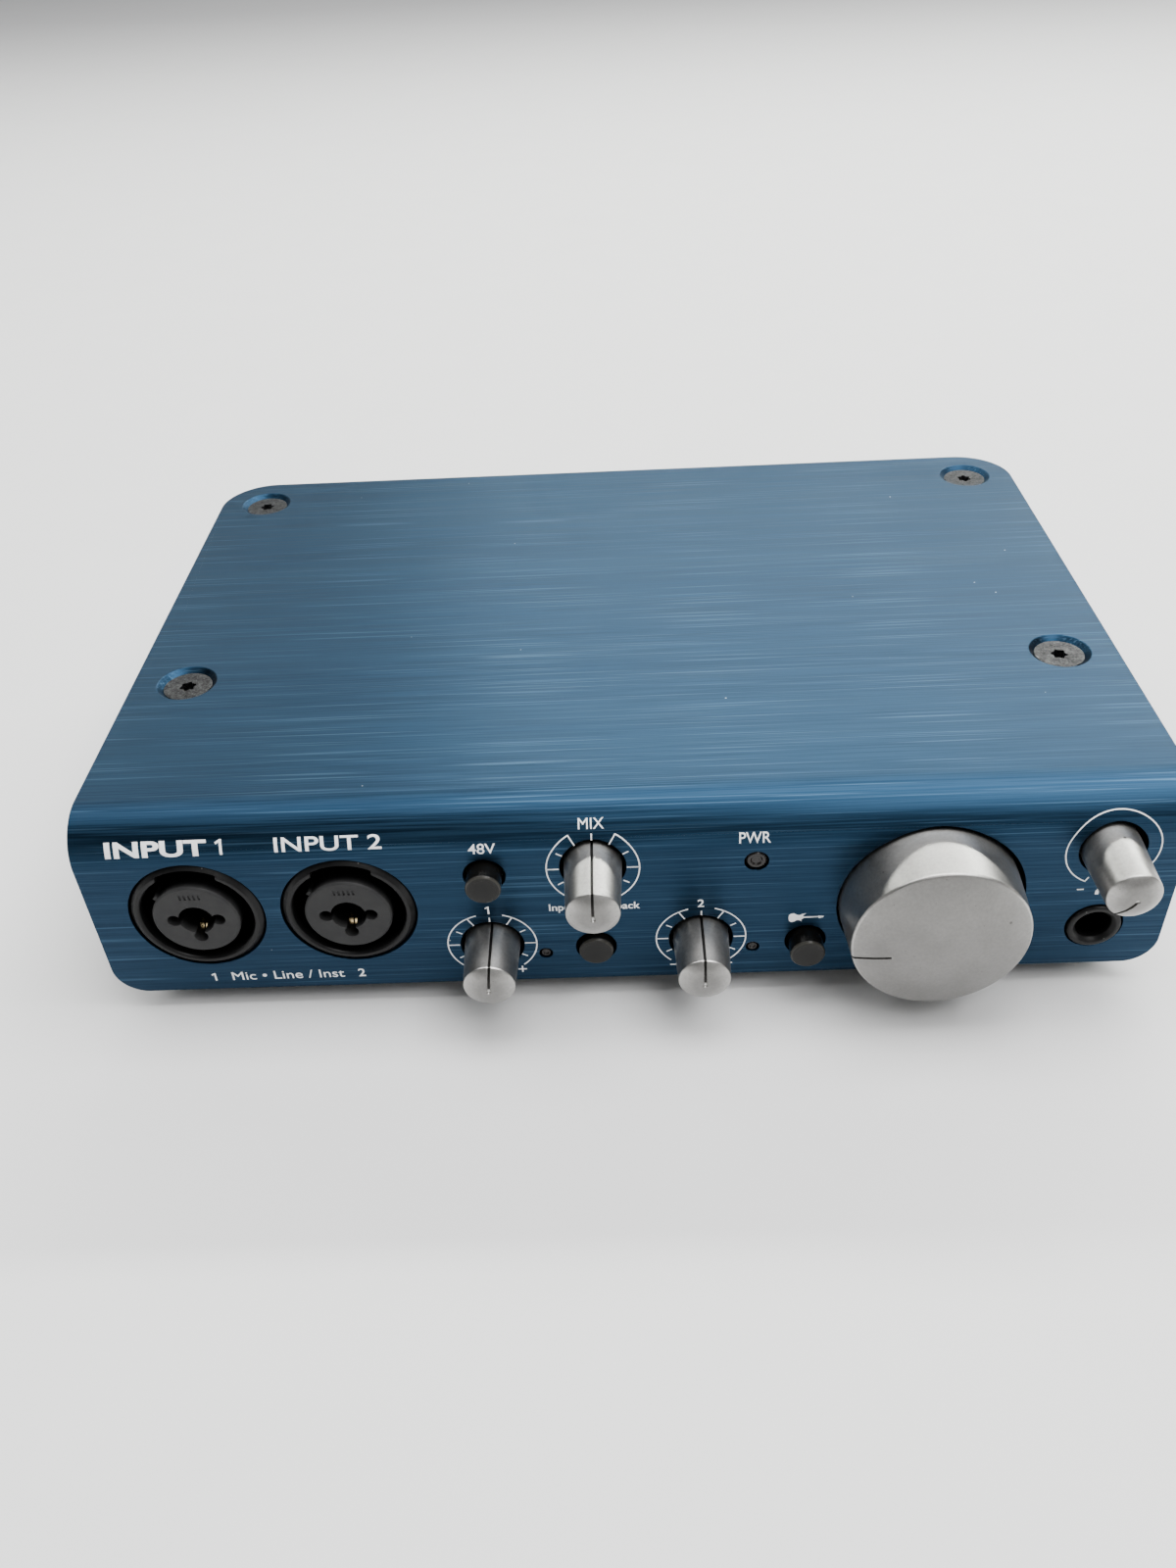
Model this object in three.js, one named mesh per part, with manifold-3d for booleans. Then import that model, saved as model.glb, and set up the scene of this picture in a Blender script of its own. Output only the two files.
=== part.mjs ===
// Desktop two-channel audio interface, in millimetres. +X is to the right seen from the front,
// +Y to the rear, +Z up. The origin is on the ground, at the centre of the object's whole outline.
// Up to the last lines, y is measured from the front face, and z from the ground.

import * as THREE from 'three';
import { mergeVertices } from 'three/addons/utils/BufferGeometryUtils.js';
import Module from 'manifold-3d';

const wasm = await Module();
wasm.setup();

// ---------- driving dimensions ----------

const GAP = 0.3; // clearance between neighbouring pieces
const GROUND_GAP = 4.5; // bottom edge of the front face above the ground
const TOOTH = 1; // how far a cutting solid runs past the surface that it cuts

// cover: one plate bent into a front face and a top
const COVER_WIDTH = 196;
const COVER_DEPTH = 137.7;
const FACE_HEIGHT = 40;
const PLATE = 3;
const BEND_RADIUS = 9;
const REAR_CORNER_RADIUS = 12;
const FRONT_CORNER_RADIUS = 6;
const COVER_TOP = GROUND_GAP + FACE_HEIGHT;

// chassis: a folded steel tray and a steel rear panel
const SHEET = 1.2;
const TRAY_WIDTH = 188;
const TRAY_BOTTOM = GROUND_GAP + 1;
const TRAY_TOP = COVER_TOP - PLATE - GAP;
const TRAY_FRONT = PLATE + GAP;
const TRAY_FOLD_RADIUS = 3;
const TOP_FLANGE = 16;
const REAR_FLANGE = 12;
const FRONT_LIP = 2;
const REAR_FACE = 135; // outer face of the rear panel
const REAR_INNER = REAR_FACE - SHEET;
const TRAY_REAR = REAR_INNER - GAP;

// countersunk screws that hold the cover
const COVER_SCREW = {
  x: 86.9, yFront: 46.1, yRear: 126.7,
  sinkRadius: 5.93, headRadius: 4.85, headDrop: 0.85, shankRadius: 2.4, length: 8.5,
  socketRadius: 1.65, socketDepth: 1.8,
};
const BOSS = { radius: 4.6, bore: 2.75, drop: 4 };
const REAR_SCREW = { x: 87.5, z: 27, headRadius: 2.9, headHeight: 1.8, shankRadius: 1.3, length: 6.5 };

// circuit boards
const BOARD = 1.6;
const MAIN_BOARD = { x: 88, yFront: 33.5, yRear: 131.5, z: GROUND_GAP + 6.5 };
const BOARD_TOP = MAIN_BOARD.z + BOARD;
const CONTROL_BOARD = { xLeft: -34, xRight: 91, y: 16, zLow: GROUND_GAP + 3, zHigh: GROUND_GAP + 34.5 };
const BEFORE_BOARD = CONTROL_BOARD.y - GAP; // rear end of what is mounted on the control board
const STANDOFF = { x: 78, yFront: 42, yRear: 118, radius: 2.6 };
const FOOT = { x: 80, yFront: 16, yRear: 122, radius: 6.5 };

// where each control stands on the front face, and its hole there; two of the knobs stand a little
// to the left in their holes
const face = (z) => GROUND_GAP + z;
const COMBO = { xs: [-78.4, -50.6], z: face(19.3), hole: 12.37 };
const MIX = { x: -5.95, z: face(28.2), hole: 5.88 };
const GAIN_1 = { x: -25.35, z: face(9.6), hole: 5.88 };
const GAIN_2 = { x: 13.3, z: face(9.6), hole: 5.88 };
const PHONES_LEVEL = { x: 84.65, z: face(28.3), hole: 5.88, holeX: 85 };
const MAIN = { x: 54.35, z: face(17.5), hole: 16.8, holeX: 54.6 };
const PHANTOM = { x: -25.3, z: face(26.9), hole: 3.75 };
const INPUT_1 = { x: -6.1, z: face(8.3), hole: 3.75 };
const INPUT_2 = { x: 32.6, z: face(8.3), hole: 3.75 };
const POWER = { x: 22.9, z: face(28.3), hole: 2.15 };
const SIGNAL_1 = { x: -15.55, z: face(7), hole: 1.25 };
const SIGNAL_2 = { x: 22.9, z: face(7), hole: 1.25 };
const PHONES = { x: 85.2, z: face(9.8), hole: 5.2 };

// knobs: reach is from the front face to the rim, and the domed face stands in front of that
const SMALL_KNOB = { rim: 4.7, base: 5.15, dome: 1.6, tail: 1.8, floor: 3 };
const LONG_REACH = 11.8;
const SHORT_REACH = 10.2;
const MAIN_KNOB = { rim: 15.66, base: 16.2, dome: 2.8, tail: 2, floor: 2.2, skirt: 1.4, hub: 5.5 };
const MAIN_REACH = 10.2;
const POINTER = { width: 0.55, depth: 0.4, mainStart: 9 };
const SHAFT = { radius: 2.9, flat: 1.5, flatEnd: 2.5, end: 14.2 };
const BUSH = { radius: 4.3, front: 4, bodyFront: 8 };
const POT_HALF = 4.75;
const MAIN_POT_HALF = 7;

// push buttons: the cap slides in the face, the stem in its switch
const BUTTON = { radius: 3.2, reach: 3.9, capRear: 4.5, stemRadius: 1.4, stemEnd: 11.6, travel: 2.4 };
const SWITCH = { half: 3.5, front: 8.8, bore: 1.75, boreEnd: 14.9 };

// sockets
const JACK_BORE = 3.2; // a 6.35 mm plug
const NOSE_END = 6.3; // round noses run back into their square bodies
const COMBO_BODY = { half: 13, below: 14.4, above: 14.6, rear: 31 };
const COMBO_RING = { front: -0.45, outer: 12.05, flat: 11.2, chamfer: 0.85, inner: 10.25, depth: 16 };
const COMBO_CORE = { front: -1, radius: 7.9, chamfer: 0.35, lobe: 1.25, lobeAt: 4.05, lobeDepth: 12 };
const COMBO_NOTCH = { half: 5.4, outer: 11.35, depth: 5 };
const DIN = { half: 9.5, nose: 7.9, plug: 6.9, core: 6, depth: 8, pin: 0.8, pinAt: 3.75, front: 120 };
const OUTPUT = { half: 7, height: 15.6, front: 109, bush: 4.7, hole: 5, noseOut: 2.4 };
const NUT = { radius: 6.9, thick: 2 };

// sockets along the rear panel, which stand on the main board and a little proud of the panel
const REAR_X = { power: 75, usbB: 58, usbA: 39, midiIn: 13, midiOut: -11, left: -44, right: -70 };
const ON_BOARD = BOARD_TOP + GAP;
const BEHIND_PANEL = REAR_INNER - GAP;
const FLUSH = REAR_FACE + 0.4;
const POWER_INLET = { half: 4.5, height: 11, front: 121, nose: 4, bore: 2.95, pin: 1, depth: 9 };
const USB_B = {
  half: 6, height: 10.8, front: 119, mouthHalf: 4.25, mouthHeight: 7.8, corner: 1.6, depth: 9,
};
const USB_A = { half: 7, height: 7, front: 120, mouthHalf: 6.25, mouthHeight: 5.2, depth: 10 };
const middleOnBoard = (height) => ON_BOARD + height / 2; // of a socket of this height

// ---------- materials ----------

function look(color, roughness, metalness) {
  return new THREE.MeshStandardMaterial({ color, roughness, metalness });
}

const BLUE_ANODISED = look('#3f6f91', 0.35, 0.8);
const BLACK_STEEL = look('#17181a', 0.55, 0.4);
const BLACK_PLASTIC = look('#1d1d1f', 0.5, 0);
const CORE_PLASTIC = look('#2a2a2c', 0.45, 0);
const SMOKED_PLASTIC = look('#3a3835', 0.3, 0);
const LENS_PLASTIC = look('#14110f', 0.2, 0);
const SATIN_SILVER = look('#b3b0ab', 0.4, 0.6);
const STEEL = look('#8b8b8d', 0.35, 0.9);
const WORN_STEEL = look('#77777a', 0.45, 0.9);
const GOLD = look('#c9973f', 0.3, 1);
const BOARD_GREEN = look('#1f4a33', 0.6, 0);
const RUBBER = look('#101010', 0.9, 0);
const RIBBON_GREY = look('#8d8f92', 0.6, 0);

// ---------- solids ----------

// A closed solid from a three.js geometry.
function solid(geometry) {
  const bare = new THREE.BufferGeometry();
  bare.setAttribute('position', geometry.getAttribute('position'));
  bare.setIndex(geometry.getIndex());
  const merged = mergeVertices(bare);
  const corners = merged.getIndex().array;
  const triangles = [];
  for (let i = 0; i < corners.length; i += 3) {
    const [a, b, c] = corners.slice(i, i + 3);
    if (a !== b && b !== c && c !== a) triangles.push(a, b, c);
  }
  return new wasm.Manifold(new wasm.Mesh({
    numProp: 3,
    vertProperties: new Float32Array(merged.getAttribute('position').array),
    triVerts: new Uint32Array(triangles),
  }));
}

const unite = (first, ...others) => others.reduce((sum, other) => sum.add(other), first);
const cut = (first, ...tools) => tools.reduce((rest, tool) => rest.subtract(tool), first);

// A box between two corners.
function box([x0, y0, z0], [x1, y1, z1]) {
  const geometry = new THREE.BoxGeometry(x1 - x0, y1 - y0, z1 - z0);
  geometry.translate((x0 + x1) / 2, (y0 + y1) / 2, (z0 + z1) / 2);
  return solid(geometry);
}

// How many flat sides stand for a round surface of this radius.
function sidesFor(radius) {
  if (radius > 10) return 32;
  if (radius > 3.5) return 20;
  return radius > 1.5 ? 12 : 8;
}

// A round bar along Y.
function barY(radius, y0, y1, { x = 0, z = 0, sides = sidesFor(radius) } = {}) {
  const geometry = new THREE.CylinderGeometry(radius, radius, y1 - y0, sides);
  geometry.translate(x, (y0 + y1) / 2, z);
  return solid(geometry);
}

// A round bar along Z, or a cone when the top radius differs.
function barZ(radius, z0, z1, { x = 0, y = 0, sides = sidesFor(radius), top = radius } = {}) {
  const geometry = new THREE.CylinderGeometry(top, radius, z1 - z0, sides);
  geometry.rotateX(Math.PI / 2);
  geometry.translate(x, y, (z0 + z1) / 2);
  return solid(geometry);
}

// A turned piece about the Y axis, from its radius-and-y profile, front to rear.
function turnedY(profile, sides = sidesFor(Math.max(...profile.map(([radius]) => radius)))) {
  const points = profile.map(([radius, y]) => new THREE.Vector2(radius, y));
  return solid(new THREE.LatheGeometry(points, sides));
}

const extrusion = (depth) => ({ depth, bevelEnabled: false, curveSegments: 6 });

// An outline in (x, y), extruded from z0 up to z1.
function extrudeZ(outline, z0, z1) {
  const geometry = new THREE.ExtrudeGeometry(outline, extrusion(z1 - z0));
  geometry.translate(0, 0, z0);
  return solid(geometry);
}

// An outline in (x, z), extruded from y0 back to y1.
function extrudeY(outline, y0, y1) {
  const geometry = new THREE.ExtrudeGeometry(outline, extrusion(y1 - y0));
  geometry.rotateX(Math.PI / 2);
  geometry.translate(0, y1, 0);
  return solid(geometry);
}

// An outline in (y, z), extruded from x0 to x1.
function extrudeX(outline, x0, x1) {
  const geometry = new THREE.ExtrudeGeometry(outline, extrusion(x1 - x0));
  const axes = new THREE.Matrix4().makeBasis(
    new THREE.Vector3(0, 1, 0), new THREE.Vector3(0, 0, 1), new THREE.Vector3(1, 0, 0));
  geometry.applyMatrix4(axes);
  geometry.translate(x0, 0, 0);
  return solid(geometry);
}

// A rectangle whose lower and upper corners are rounded by their own radii.
function roundedOutline(x0, y0, x1, y1, lower, upper) {
  const outline = new THREE.Shape();
  outline.moveTo(x0 + lower, y0);
  outline.lineTo(x1 - lower, y0);
  if (lower) outline.absarc(x1 - lower, y0 + lower, lower, -Math.PI / 2, 0);
  outline.lineTo(x1, y1 - upper);
  if (upper) outline.absarc(x1 - upper, y1 - upper, upper, 0, Math.PI / 2);
  outline.lineTo(x0 + upper, y1);
  if (upper) outline.absarc(x0 + upper, y1 - upper, upper, Math.PI / 2, Math.PI);
  outline.lineTo(x0, y0 + lower);
  if (lower) outline.absarc(x0 + lower, y0 + lower, lower, Math.PI, 1.5 * Math.PI);
  return outline;
}

const object = new THREE.Group();

// Adds a named mesh to the object: a solid in its own material, at its place.
function add(name, body, material, { x = 0, y = 0, z = 0, turn = 0 } = {}) {
  const { vertProperties, triVerts } = body.getMesh();
  const geometry = new THREE.BufferGeometry();
  geometry.setAttribute('position', new THREE.BufferAttribute(vertProperties, 3));
  geometry.setIndex(new THREE.BufferAttribute(triVerts, 1));
  geometry.computeVertexNormals();
  const mesh = new THREE.Mesh(geometry, material.clone());
  mesh.name = name;
  mesh.position.set(x, y, z);
  mesh.rotation.y = THREE.MathUtils.degToRad(turn);
  object.add(mesh);
}

// ---------- cover ----------

// The places that come four at a time: front and rear, left and right.
const corners = ({ x, yFront, yRear }) => [[-x, yFront], [x, yFront], [-x, yRear], [x, yRear]];

function cover() {
  const bent = new THREE.Shape();
  bent.moveTo(0, GROUND_GAP);
  bent.lineTo(0, COVER_TOP - BEND_RADIUS);
  bent.absarc(BEND_RADIUS, COVER_TOP - BEND_RADIUS, BEND_RADIUS, Math.PI, Math.PI / 2, true);
  bent.lineTo(COVER_DEPTH, COVER_TOP);
  bent.lineTo(COVER_DEPTH, COVER_TOP - PLATE);
  bent.lineTo(BEND_RADIUS, COVER_TOP - PLATE);
  bent.absarc(BEND_RADIUS, COVER_TOP - BEND_RADIUS, BEND_RADIUS - PLATE, Math.PI / 2, Math.PI, false);
  bent.lineTo(PLATE, GROUND_GAP);
  const half = COVER_WIDTH / 2;
  const plan = roundedOutline(-half, -TOOTH, half, COVER_DEPTH, 0, REAR_CORNER_RADIUS);
  const front = roundedOutline(-half, GROUND_GAP, half, COVER_TOP + TOOTH, FRONT_CORNER_RADIUS, 0);
  const blank = extrudeX(bent, -half, half)
    .intersect(extrudeZ(plan, 0, COVER_TOP + TOOTH))
    .intersect(extrudeY(front, -TOOTH, COVER_DEPTH + TOOTH));
  const places = [MIX, GAIN_1, GAIN_2, PHONES_LEVEL, MAIN, PHANTOM, INPUT_1, INPUT_2,
    POWER, SIGNAL_1, SIGNAL_2, PHONES];
  COMBO.xs.forEach((x) => places.push({ x, z: COMBO.z, hole: COMBO.hole }));
  const holes = places.map(({ x, z, hole, holeX = x }) => (
    barY(hole, -TOOTH, PLATE + BEND_RADIUS, { x: holeX, z })));
  // 90 degree countersinks, which run out into plain holes below
  const depth = PLATE + TOOTH;
  const sinks = corners(COVER_SCREW).map(([x, y]) => barZ(
    COVER_SCREW.sinkRadius - depth, COVER_TOP - depth, COVER_TOP + TOOTH,
    { x, y, sides: 20, top: COVER_SCREW.sinkRadius + TOOTH }));
  const bores = corners(COVER_SCREW).map(([x, y]) => (
    barZ(BOSS.bore, COVER_TOP - depth, COVER_TOP, { x, y })));
  add('cover', cut(blank, ...holes, ...sinks, ...bores), BLUE_ANODISED);
}

// A countersunk machine screw with a six-lobed socket.
function coverScrews() {
  const top = COVER_TOP - COVER_SCREW.headDrop;
  const { headRadius, shankRadius, length, socketRadius, socketDepth } = COVER_SCREW;
  const coneHeight = headRadius - shankRadius;
  const socket = new THREE.Shape();
  const steps = 12;
  for (let i = 0; i < steps; i += 1) {
    const angle = (2 * Math.PI * i) / steps;
    const radius = socketRadius * (i % 2 ? 0.75 : 1);
    const point = [radius * Math.cos(angle), radius * Math.sin(angle)];
    if (i === 0) socket.moveTo(...point);
    else socket.lineTo(...point);
  }
  const screw = cut(
    unite(
      barZ(shankRadius, -coneHeight, 0, { top: headRadius, sides: 16 }),
      barZ(shankRadius, -length, -coneHeight + 0.1),
    ),
    extrudeZ(socket, -socketDepth, TOOTH));
  corners(COVER_SCREW).forEach(([x, y], i) => {
    add(`cover_screw_${i + 1}`, screw, WORN_STEEL, { x, y, z: top });
  });
}

// ---------- chassis ----------

function chassisTray() {
  const half = TRAY_WIDTH / 2;
  const outer = extrudeY(
    roundedOutline(-half, TRAY_BOTTOM, half, TRAY_TOP, TRAY_FOLD_RADIUS, 0), TRAY_FRONT, TRAY_REAR);
  const inside = extrudeY(
    roundedOutline(-half + SHEET, TRAY_BOTTOM + SHEET, half - SHEET, TRAY_TOP - SHEET,
      TRAY_FOLD_RADIUS - SHEET, 0), TRAY_FRONT - TOOTH, TRAY_REAR + TOOTH);
  const mouth = half - TOP_FLANGE;
  const topOpening = box(
    [-mouth, TRAY_FRONT - TOOTH, TRAY_TOP - 2 * SHEET], [mouth, TRAY_REAR + TOOTH, TRAY_TOP + TOOTH]);
  // the side walls follow the inside of the cover's bend
  const underCover = new THREE.Shape();
  const bendHeight = COVER_TOP - BEND_RADIUS;
  underCover.moveTo(TRAY_FRONT, TRAY_BOTTOM - TOOTH);
  underCover.lineTo(TRAY_FRONT, bendHeight);
  underCover.absarc(BEND_RADIUS, bendHeight, BEND_RADIUS - TRAY_FRONT, Math.PI, Math.PI / 2, true);
  underCover.lineTo(TRAY_REAR, TRAY_TOP);
  underCover.lineTo(TRAY_REAR, TRAY_BOTTOM - TOOTH);
  const shell = cut(outer, inside, topOpening)
    .intersect(extrudeX(underCover, -half - TOOTH, half + TOOTH));
  const foldTop = TRAY_BOTTOM + SHEET;
  const lip = box([-half + TRAY_FOLD_RADIUS, TRAY_FRONT, TRAY_BOTTOM + 0.1],
    [half - TRAY_FOLD_RADIUS, TRAY_FRONT + SHEET, foldTop + FRONT_LIP]);
  const pieces = [lip];
  for (const side of [-1, 1]) {
    const xs = [side * (half - 0.1), side * (half - REAR_FLANGE)].sort((a, b) => a - b);
    const flange = roundedOutline(xs[0], TRAY_BOTTOM + TRAY_FOLD_RADIUS, xs[1], TRAY_TOP - 0.1, 0, 0);
    const hole = barY(REAR_SCREW.shankRadius + GAP, TRAY_REAR - 2 * SHEET, TRAY_REAR + TOOTH,
      { x: side * REAR_SCREW.x, z: REAR_SCREW.z });
    pieces.push(cut(extrudeY(flange, TRAY_REAR - SHEET, TRAY_REAR), hole));
  }
  // threaded bosses for the cover screws hang under the top flanges
  const bossEnd = TRAY_TOP - SHEET - BOSS.drop;
  const places = corners(COVER_SCREW);
  const bosses = places.map(([x, y]) => barZ(BOSS.radius, bossEnd, TRAY_TOP - 0.1, { x, y }));
  const bores = places.map(([x, y]) => barZ(BOSS.bore, bossEnd - TOOTH, TRAY_TOP + TOOTH, { x, y }));
  add('chassis_tray', cut(unite(shell, ...pieces, ...bosses), ...bores), BLACK_STEEL);
}

function rearPanel() {
  const half = TRAY_WIDTH / 2;
  const sheet = extrudeY(
    roundedOutline(-half, TRAY_BOTTOM, half, TRAY_TOP, TRAY_FOLD_RADIUS, 0), REAR_INNER, REAR_FACE);
  const [y0, y1] = [REAR_INNER - TOOTH, REAR_FACE + TOOTH];
  const round = (radius, x, z) => barY(radius, y0, y1, { x, z });
  const rectangle = ({ half: side, height }, x) => box(
    [x - side - GAP, y0, ON_BOARD - GAP], [x + side + GAP, y1, ON_BOARD + height + GAP]);
  const powerZ = middleOnBoard(POWER_INLET.height);
  const midiZ = middleOnBoard(2 * DIN.half);
  const outputZ = middleOnBoard(OUTPUT.height);
  const holes = [
    round(POWER_INLET.nose + GAP, REAR_X.power, powerZ),
    rectangle(USB_B, REAR_X.usbB),
    rectangle(USB_A, REAR_X.usbA),
    round(DIN.nose + GAP, REAR_X.midiIn, midiZ),
    round(DIN.nose + GAP, REAR_X.midiOut, midiZ),
    round(OUTPUT.hole, REAR_X.left, outputZ),
    round(OUTPUT.hole, REAR_X.right, outputZ),
    round(REAR_SCREW.shankRadius + GAP, -REAR_SCREW.x, REAR_SCREW.z),
    round(REAR_SCREW.shankRadius + GAP, REAR_SCREW.x, REAR_SCREW.z),
  ];
  add('rear_panel', cut(sheet, ...holes), BLACK_STEEL);
}

// A pan-head screw with a cross recess.
function rearScrews() {
  const { headRadius, headHeight, shankRadius, length } = REAR_SCREW;
  const body = turnedY([
    [0, -length], [shankRadius, -length], [shankRadius, 0], [headRadius, 0],
    [headRadius, 0.45 * headHeight], [0.7 * headRadius, 0.9 * headHeight], [0, headHeight],
  ]);
  const [wide, narrow] = [1.5, 0.3];
  const blade = (x, z) => box([-x, 0.35 * headHeight, -z], [x, headHeight + TOOTH, z]);
  const screw = cut(body, blade(wide, narrow), blade(narrow, wide));
  const place = { y: REAR_FACE + GAP, z: REAR_SCREW.z };
  add('rear_screw_left', screw, STEEL, { x: -REAR_SCREW.x, ...place });
  add('rear_screw_right', screw, STEEL, { x: REAR_SCREW.x, ...place });
}

function feet() {
  const height = TRAY_BOTTOM - GAP;
  const foot = unite(
    barZ(FOOT.radius - 0.8, 0, 1, { top: FOOT.radius }),
    barZ(FOOT.radius, 0.9, height));
  corners(FOOT).forEach(([x, y], i) => add(`foot_${i + 1}`, foot, RUBBER, { x, y }));
}

function boardStandoffs() {
  const base = TRAY_BOTTOM + SHEET + GAP;
  const pillar = barZ(STANDOFF.radius, 0, MAIN_BOARD.z - GAP - base, { sides: 6 });
  corners(STANDOFF).forEach(([x, y], i) => {
    add(`board_standoff_${i + 1}`, pillar, STEEL, { x, y, z: base });
  });
}

// ---------- circuit boards ----------

function mainBoard() {
  const { x, yFront, yRear, z } = MAIN_BOARD;
  const bedded = BOARD_TOP - 0.2; // parts soldered to the board start a little inside it
  const chip = (cx, cy, half, height) => box(
    [cx - half, cy - half, bedded], [cx + half, cy + half, BOARD_TOP + height]);
  const can = (cx, cy) => barZ(4, bedded, BOARD_TOP + 11, { x: cx, y: cy, sides: 16 });
  const board = unite(
    box([-x, yFront, z], [x, yRear, BOARD_TOP]),
    chip(30, 76, 8, 1.6), chip(-20, 80, 6, 1.6), chip(-58, 62, 5, 1.8), chip(62, 92, 4, 1.8),
    can(74, 66), can(74, 78), can(-40, 96), can(-52, 96));
  add('main_board', board, BOARD_GREEN);
}

// The upright board behind the controls, cut away around the headphone socket.
function controlBoard() {
  const { xLeft, xRight, y, zLow, zHigh } = CONTROL_BOARD;
  const board = box([xLeft, y, zLow], [xRight, y + BOARD, zHigh]);
  const notch = box(
    [PHONES.x - 9, y - TOOTH, zLow - TOOTH], [xRight + TOOTH, y + BOARD + TOOTH, PHONES.z + 8]);
  add('control_board', cut(board, notch), BOARD_GREEN);
}

// The flat cable from the control board down to the main board, with its two headers.
function boardRibbon() {
  const radius = 20;
  const thick = 0.8;
  const bottom = BOARD_TOP + GAP;
  const start = CONTROL_BOARD.y + BOARD + GAP;
  const strip = new THREE.Shape();
  strip.absarc(start, bottom, radius, Math.PI / 2, 0, true);
  strip.absarc(start, bottom, radius - thick, 0, Math.PI / 2, false);
  const half = 10;
  const wide = half + 1;
  const upper = box([-wide, start, bottom + radius - 2], [wide, start + 3, bottom + radius + 1.5]);
  const lower = box([-wide, start + radius - 2.5, bottom], [wide, start + radius + 1.5, bottom + 3]);
  add('board_ribbon', unite(extrudeX(strip, -half, half), upper, lower), RIBBON_GREY);
}

// ---------- front sockets ----------

// Combination microphone and line socket: a ring flush with the face, round a groove and a core.
function comboSocket() {
  const { half, below, above, rear } = COMBO_BODY;
  const { front, outer, flat, chamfer, inner, depth } = COMBO_RING;
  const body = box([-half, TRAY_FRONT + SHEET + GAP, -below], [half, rear, above]);
  const ring = turnedY([
    [0, front], [flat, front], [outer, front + chamfer], [outer, NOSE_END], [0, NOSE_END],
  ]);
  const groove = barY(inner, front - TOOTH, depth);
  const notch = barY(COMBO_NOTCH.outer, front - TOOTH, COMBO_NOTCH.depth)
    .intersect(box(
      [-COMBO_NOTCH.half, front - TOOTH, 0], [COMBO_NOTCH.half, COMBO_NOTCH.depth, outer]));
  const bore = barY(JACK_BORE, 0, rear - 2);
  return cut(unite(body, ring), groove, notch, bore);
}

// The core holds the jack bore and three pin openings that run into it.
function comboInsert() {
  const { front, radius, chamfer, lobe, lobeAt, lobeDepth } = COMBO_CORE;
  const rear = COMBO_RING.depth - GAP;
  const core = turnedY([
    [0, front], [radius - chamfer, front], [radius, front + chamfer], [radius, rear], [0, rear],
  ], 24);
  const cuts = [barY(JACK_BORE, front - TOOTH, rear + TOOTH)];
  for (const [x, z] of [[-lobeAt, 0], [lobeAt, 0], [0, -lobeAt]]) {
    cuts.push(barY(lobe, front - TOOTH, lobeDepth, { x, z, sides: 12 }));
  }
  return cut(core, ...cuts);
}

// A bent leaf contact that lies in the lower pin opening.
function comboContact() {
  const leaf = new THREE.Shape();
  const thick = 0.35;
  const line = [[0.6, -4.5], [3.1, -3.1], [4.1, -3.1], [6.5, -4.5], [11.5, -4.5]];
  leaf.moveTo(...line[0]);
  line.slice(1).forEach((point) => leaf.lineTo(...point));
  line.reverse().forEach(([y, z]) => leaf.lineTo(y, z - thick));
  return extrudeX(leaf, -0.6, 0.6);
}

function comboSockets() {
  COMBO.xs.forEach((x, i) => {
    const place = { x, z: COMBO.z };
    add(`combo_socket_${i + 1}`, comboSocket(), BLACK_PLASTIC, place);
    add(`combo_insert_${i + 1}`, comboInsert(), CORE_PLASTIC, place);
    add(`combo_contact_${i + 1}`, comboContact(), GOLD, place);
  });
}

function phonesSocket() {
  const [front, nose, rear, half] = [-0.5, 4.9, 28, 6.5];
  const body = unite(
    box([-half, TRAY_FRONT + SHEET + GAP, -half], [half, rear, half]),
    turnedY([[0, front], [nose - 0.5, front], [nose, front + 0.5], [nose, NOSE_END], [0, NOSE_END]]));
  add('phones_socket', cut(body, barY(JACK_BORE, front - TOOTH, rear - 1)), BLACK_PLASTIC, PHONES);
}

// ---------- rear sockets ----------

function powerInlet() {
  const { half, height, front, nose, bore, pin, depth } = POWER_INLET;
  const shell = unite(
    box([-half, front, -height / 2], [half, BEHIND_PANEL, height / 2]),
    barY(nose, BEHIND_PANEL - 1, FLUSH));
  const hollow = barY(bore, FLUSH - depth, FLUSH + TOOTH);
  const post = barY(pin, FLUSH - depth - 1, FLUSH - 1.5);
  const place = { x: REAR_X.power, z: middleOnBoard(height) };
  add('power_inlet', unite(cut(shell, hollow), post), BLACK_PLASTIC, place);
}

// A square printer-type socket, with the two upper corners of its mouth cut off.
function usbBSocket() {
  const { half, height, front, mouthHalf, mouthHeight, corner, depth } = USB_B;
  const high = mouthHeight / 2;
  const mouth = new THREE.Shape();
  mouth.moveTo(-mouthHalf, -high);
  mouth.lineTo(mouthHalf, -high);
  mouth.lineTo(mouthHalf, high - corner);
  mouth.lineTo(mouthHalf - corner, high);
  mouth.lineTo(-mouthHalf + corner, high);
  mouth.lineTo(-mouthHalf, high - corner);
  const block = box([-half, front, -height / 2], [half, FLUSH, height / 2]);
  const shell = cut(block, extrudeY(mouth, FLUSH - depth, FLUSH + TOOTH));
  const tongue = box([-2.8, FLUSH - depth - 1, -1.6], [2.8, FLUSH - 1, 1.6]);
  const place = { x: REAR_X.usbB, z: middleOnBoard(height) };
  add('usb_b_socket', unite(shell, tongue), STEEL, place);
}

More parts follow.
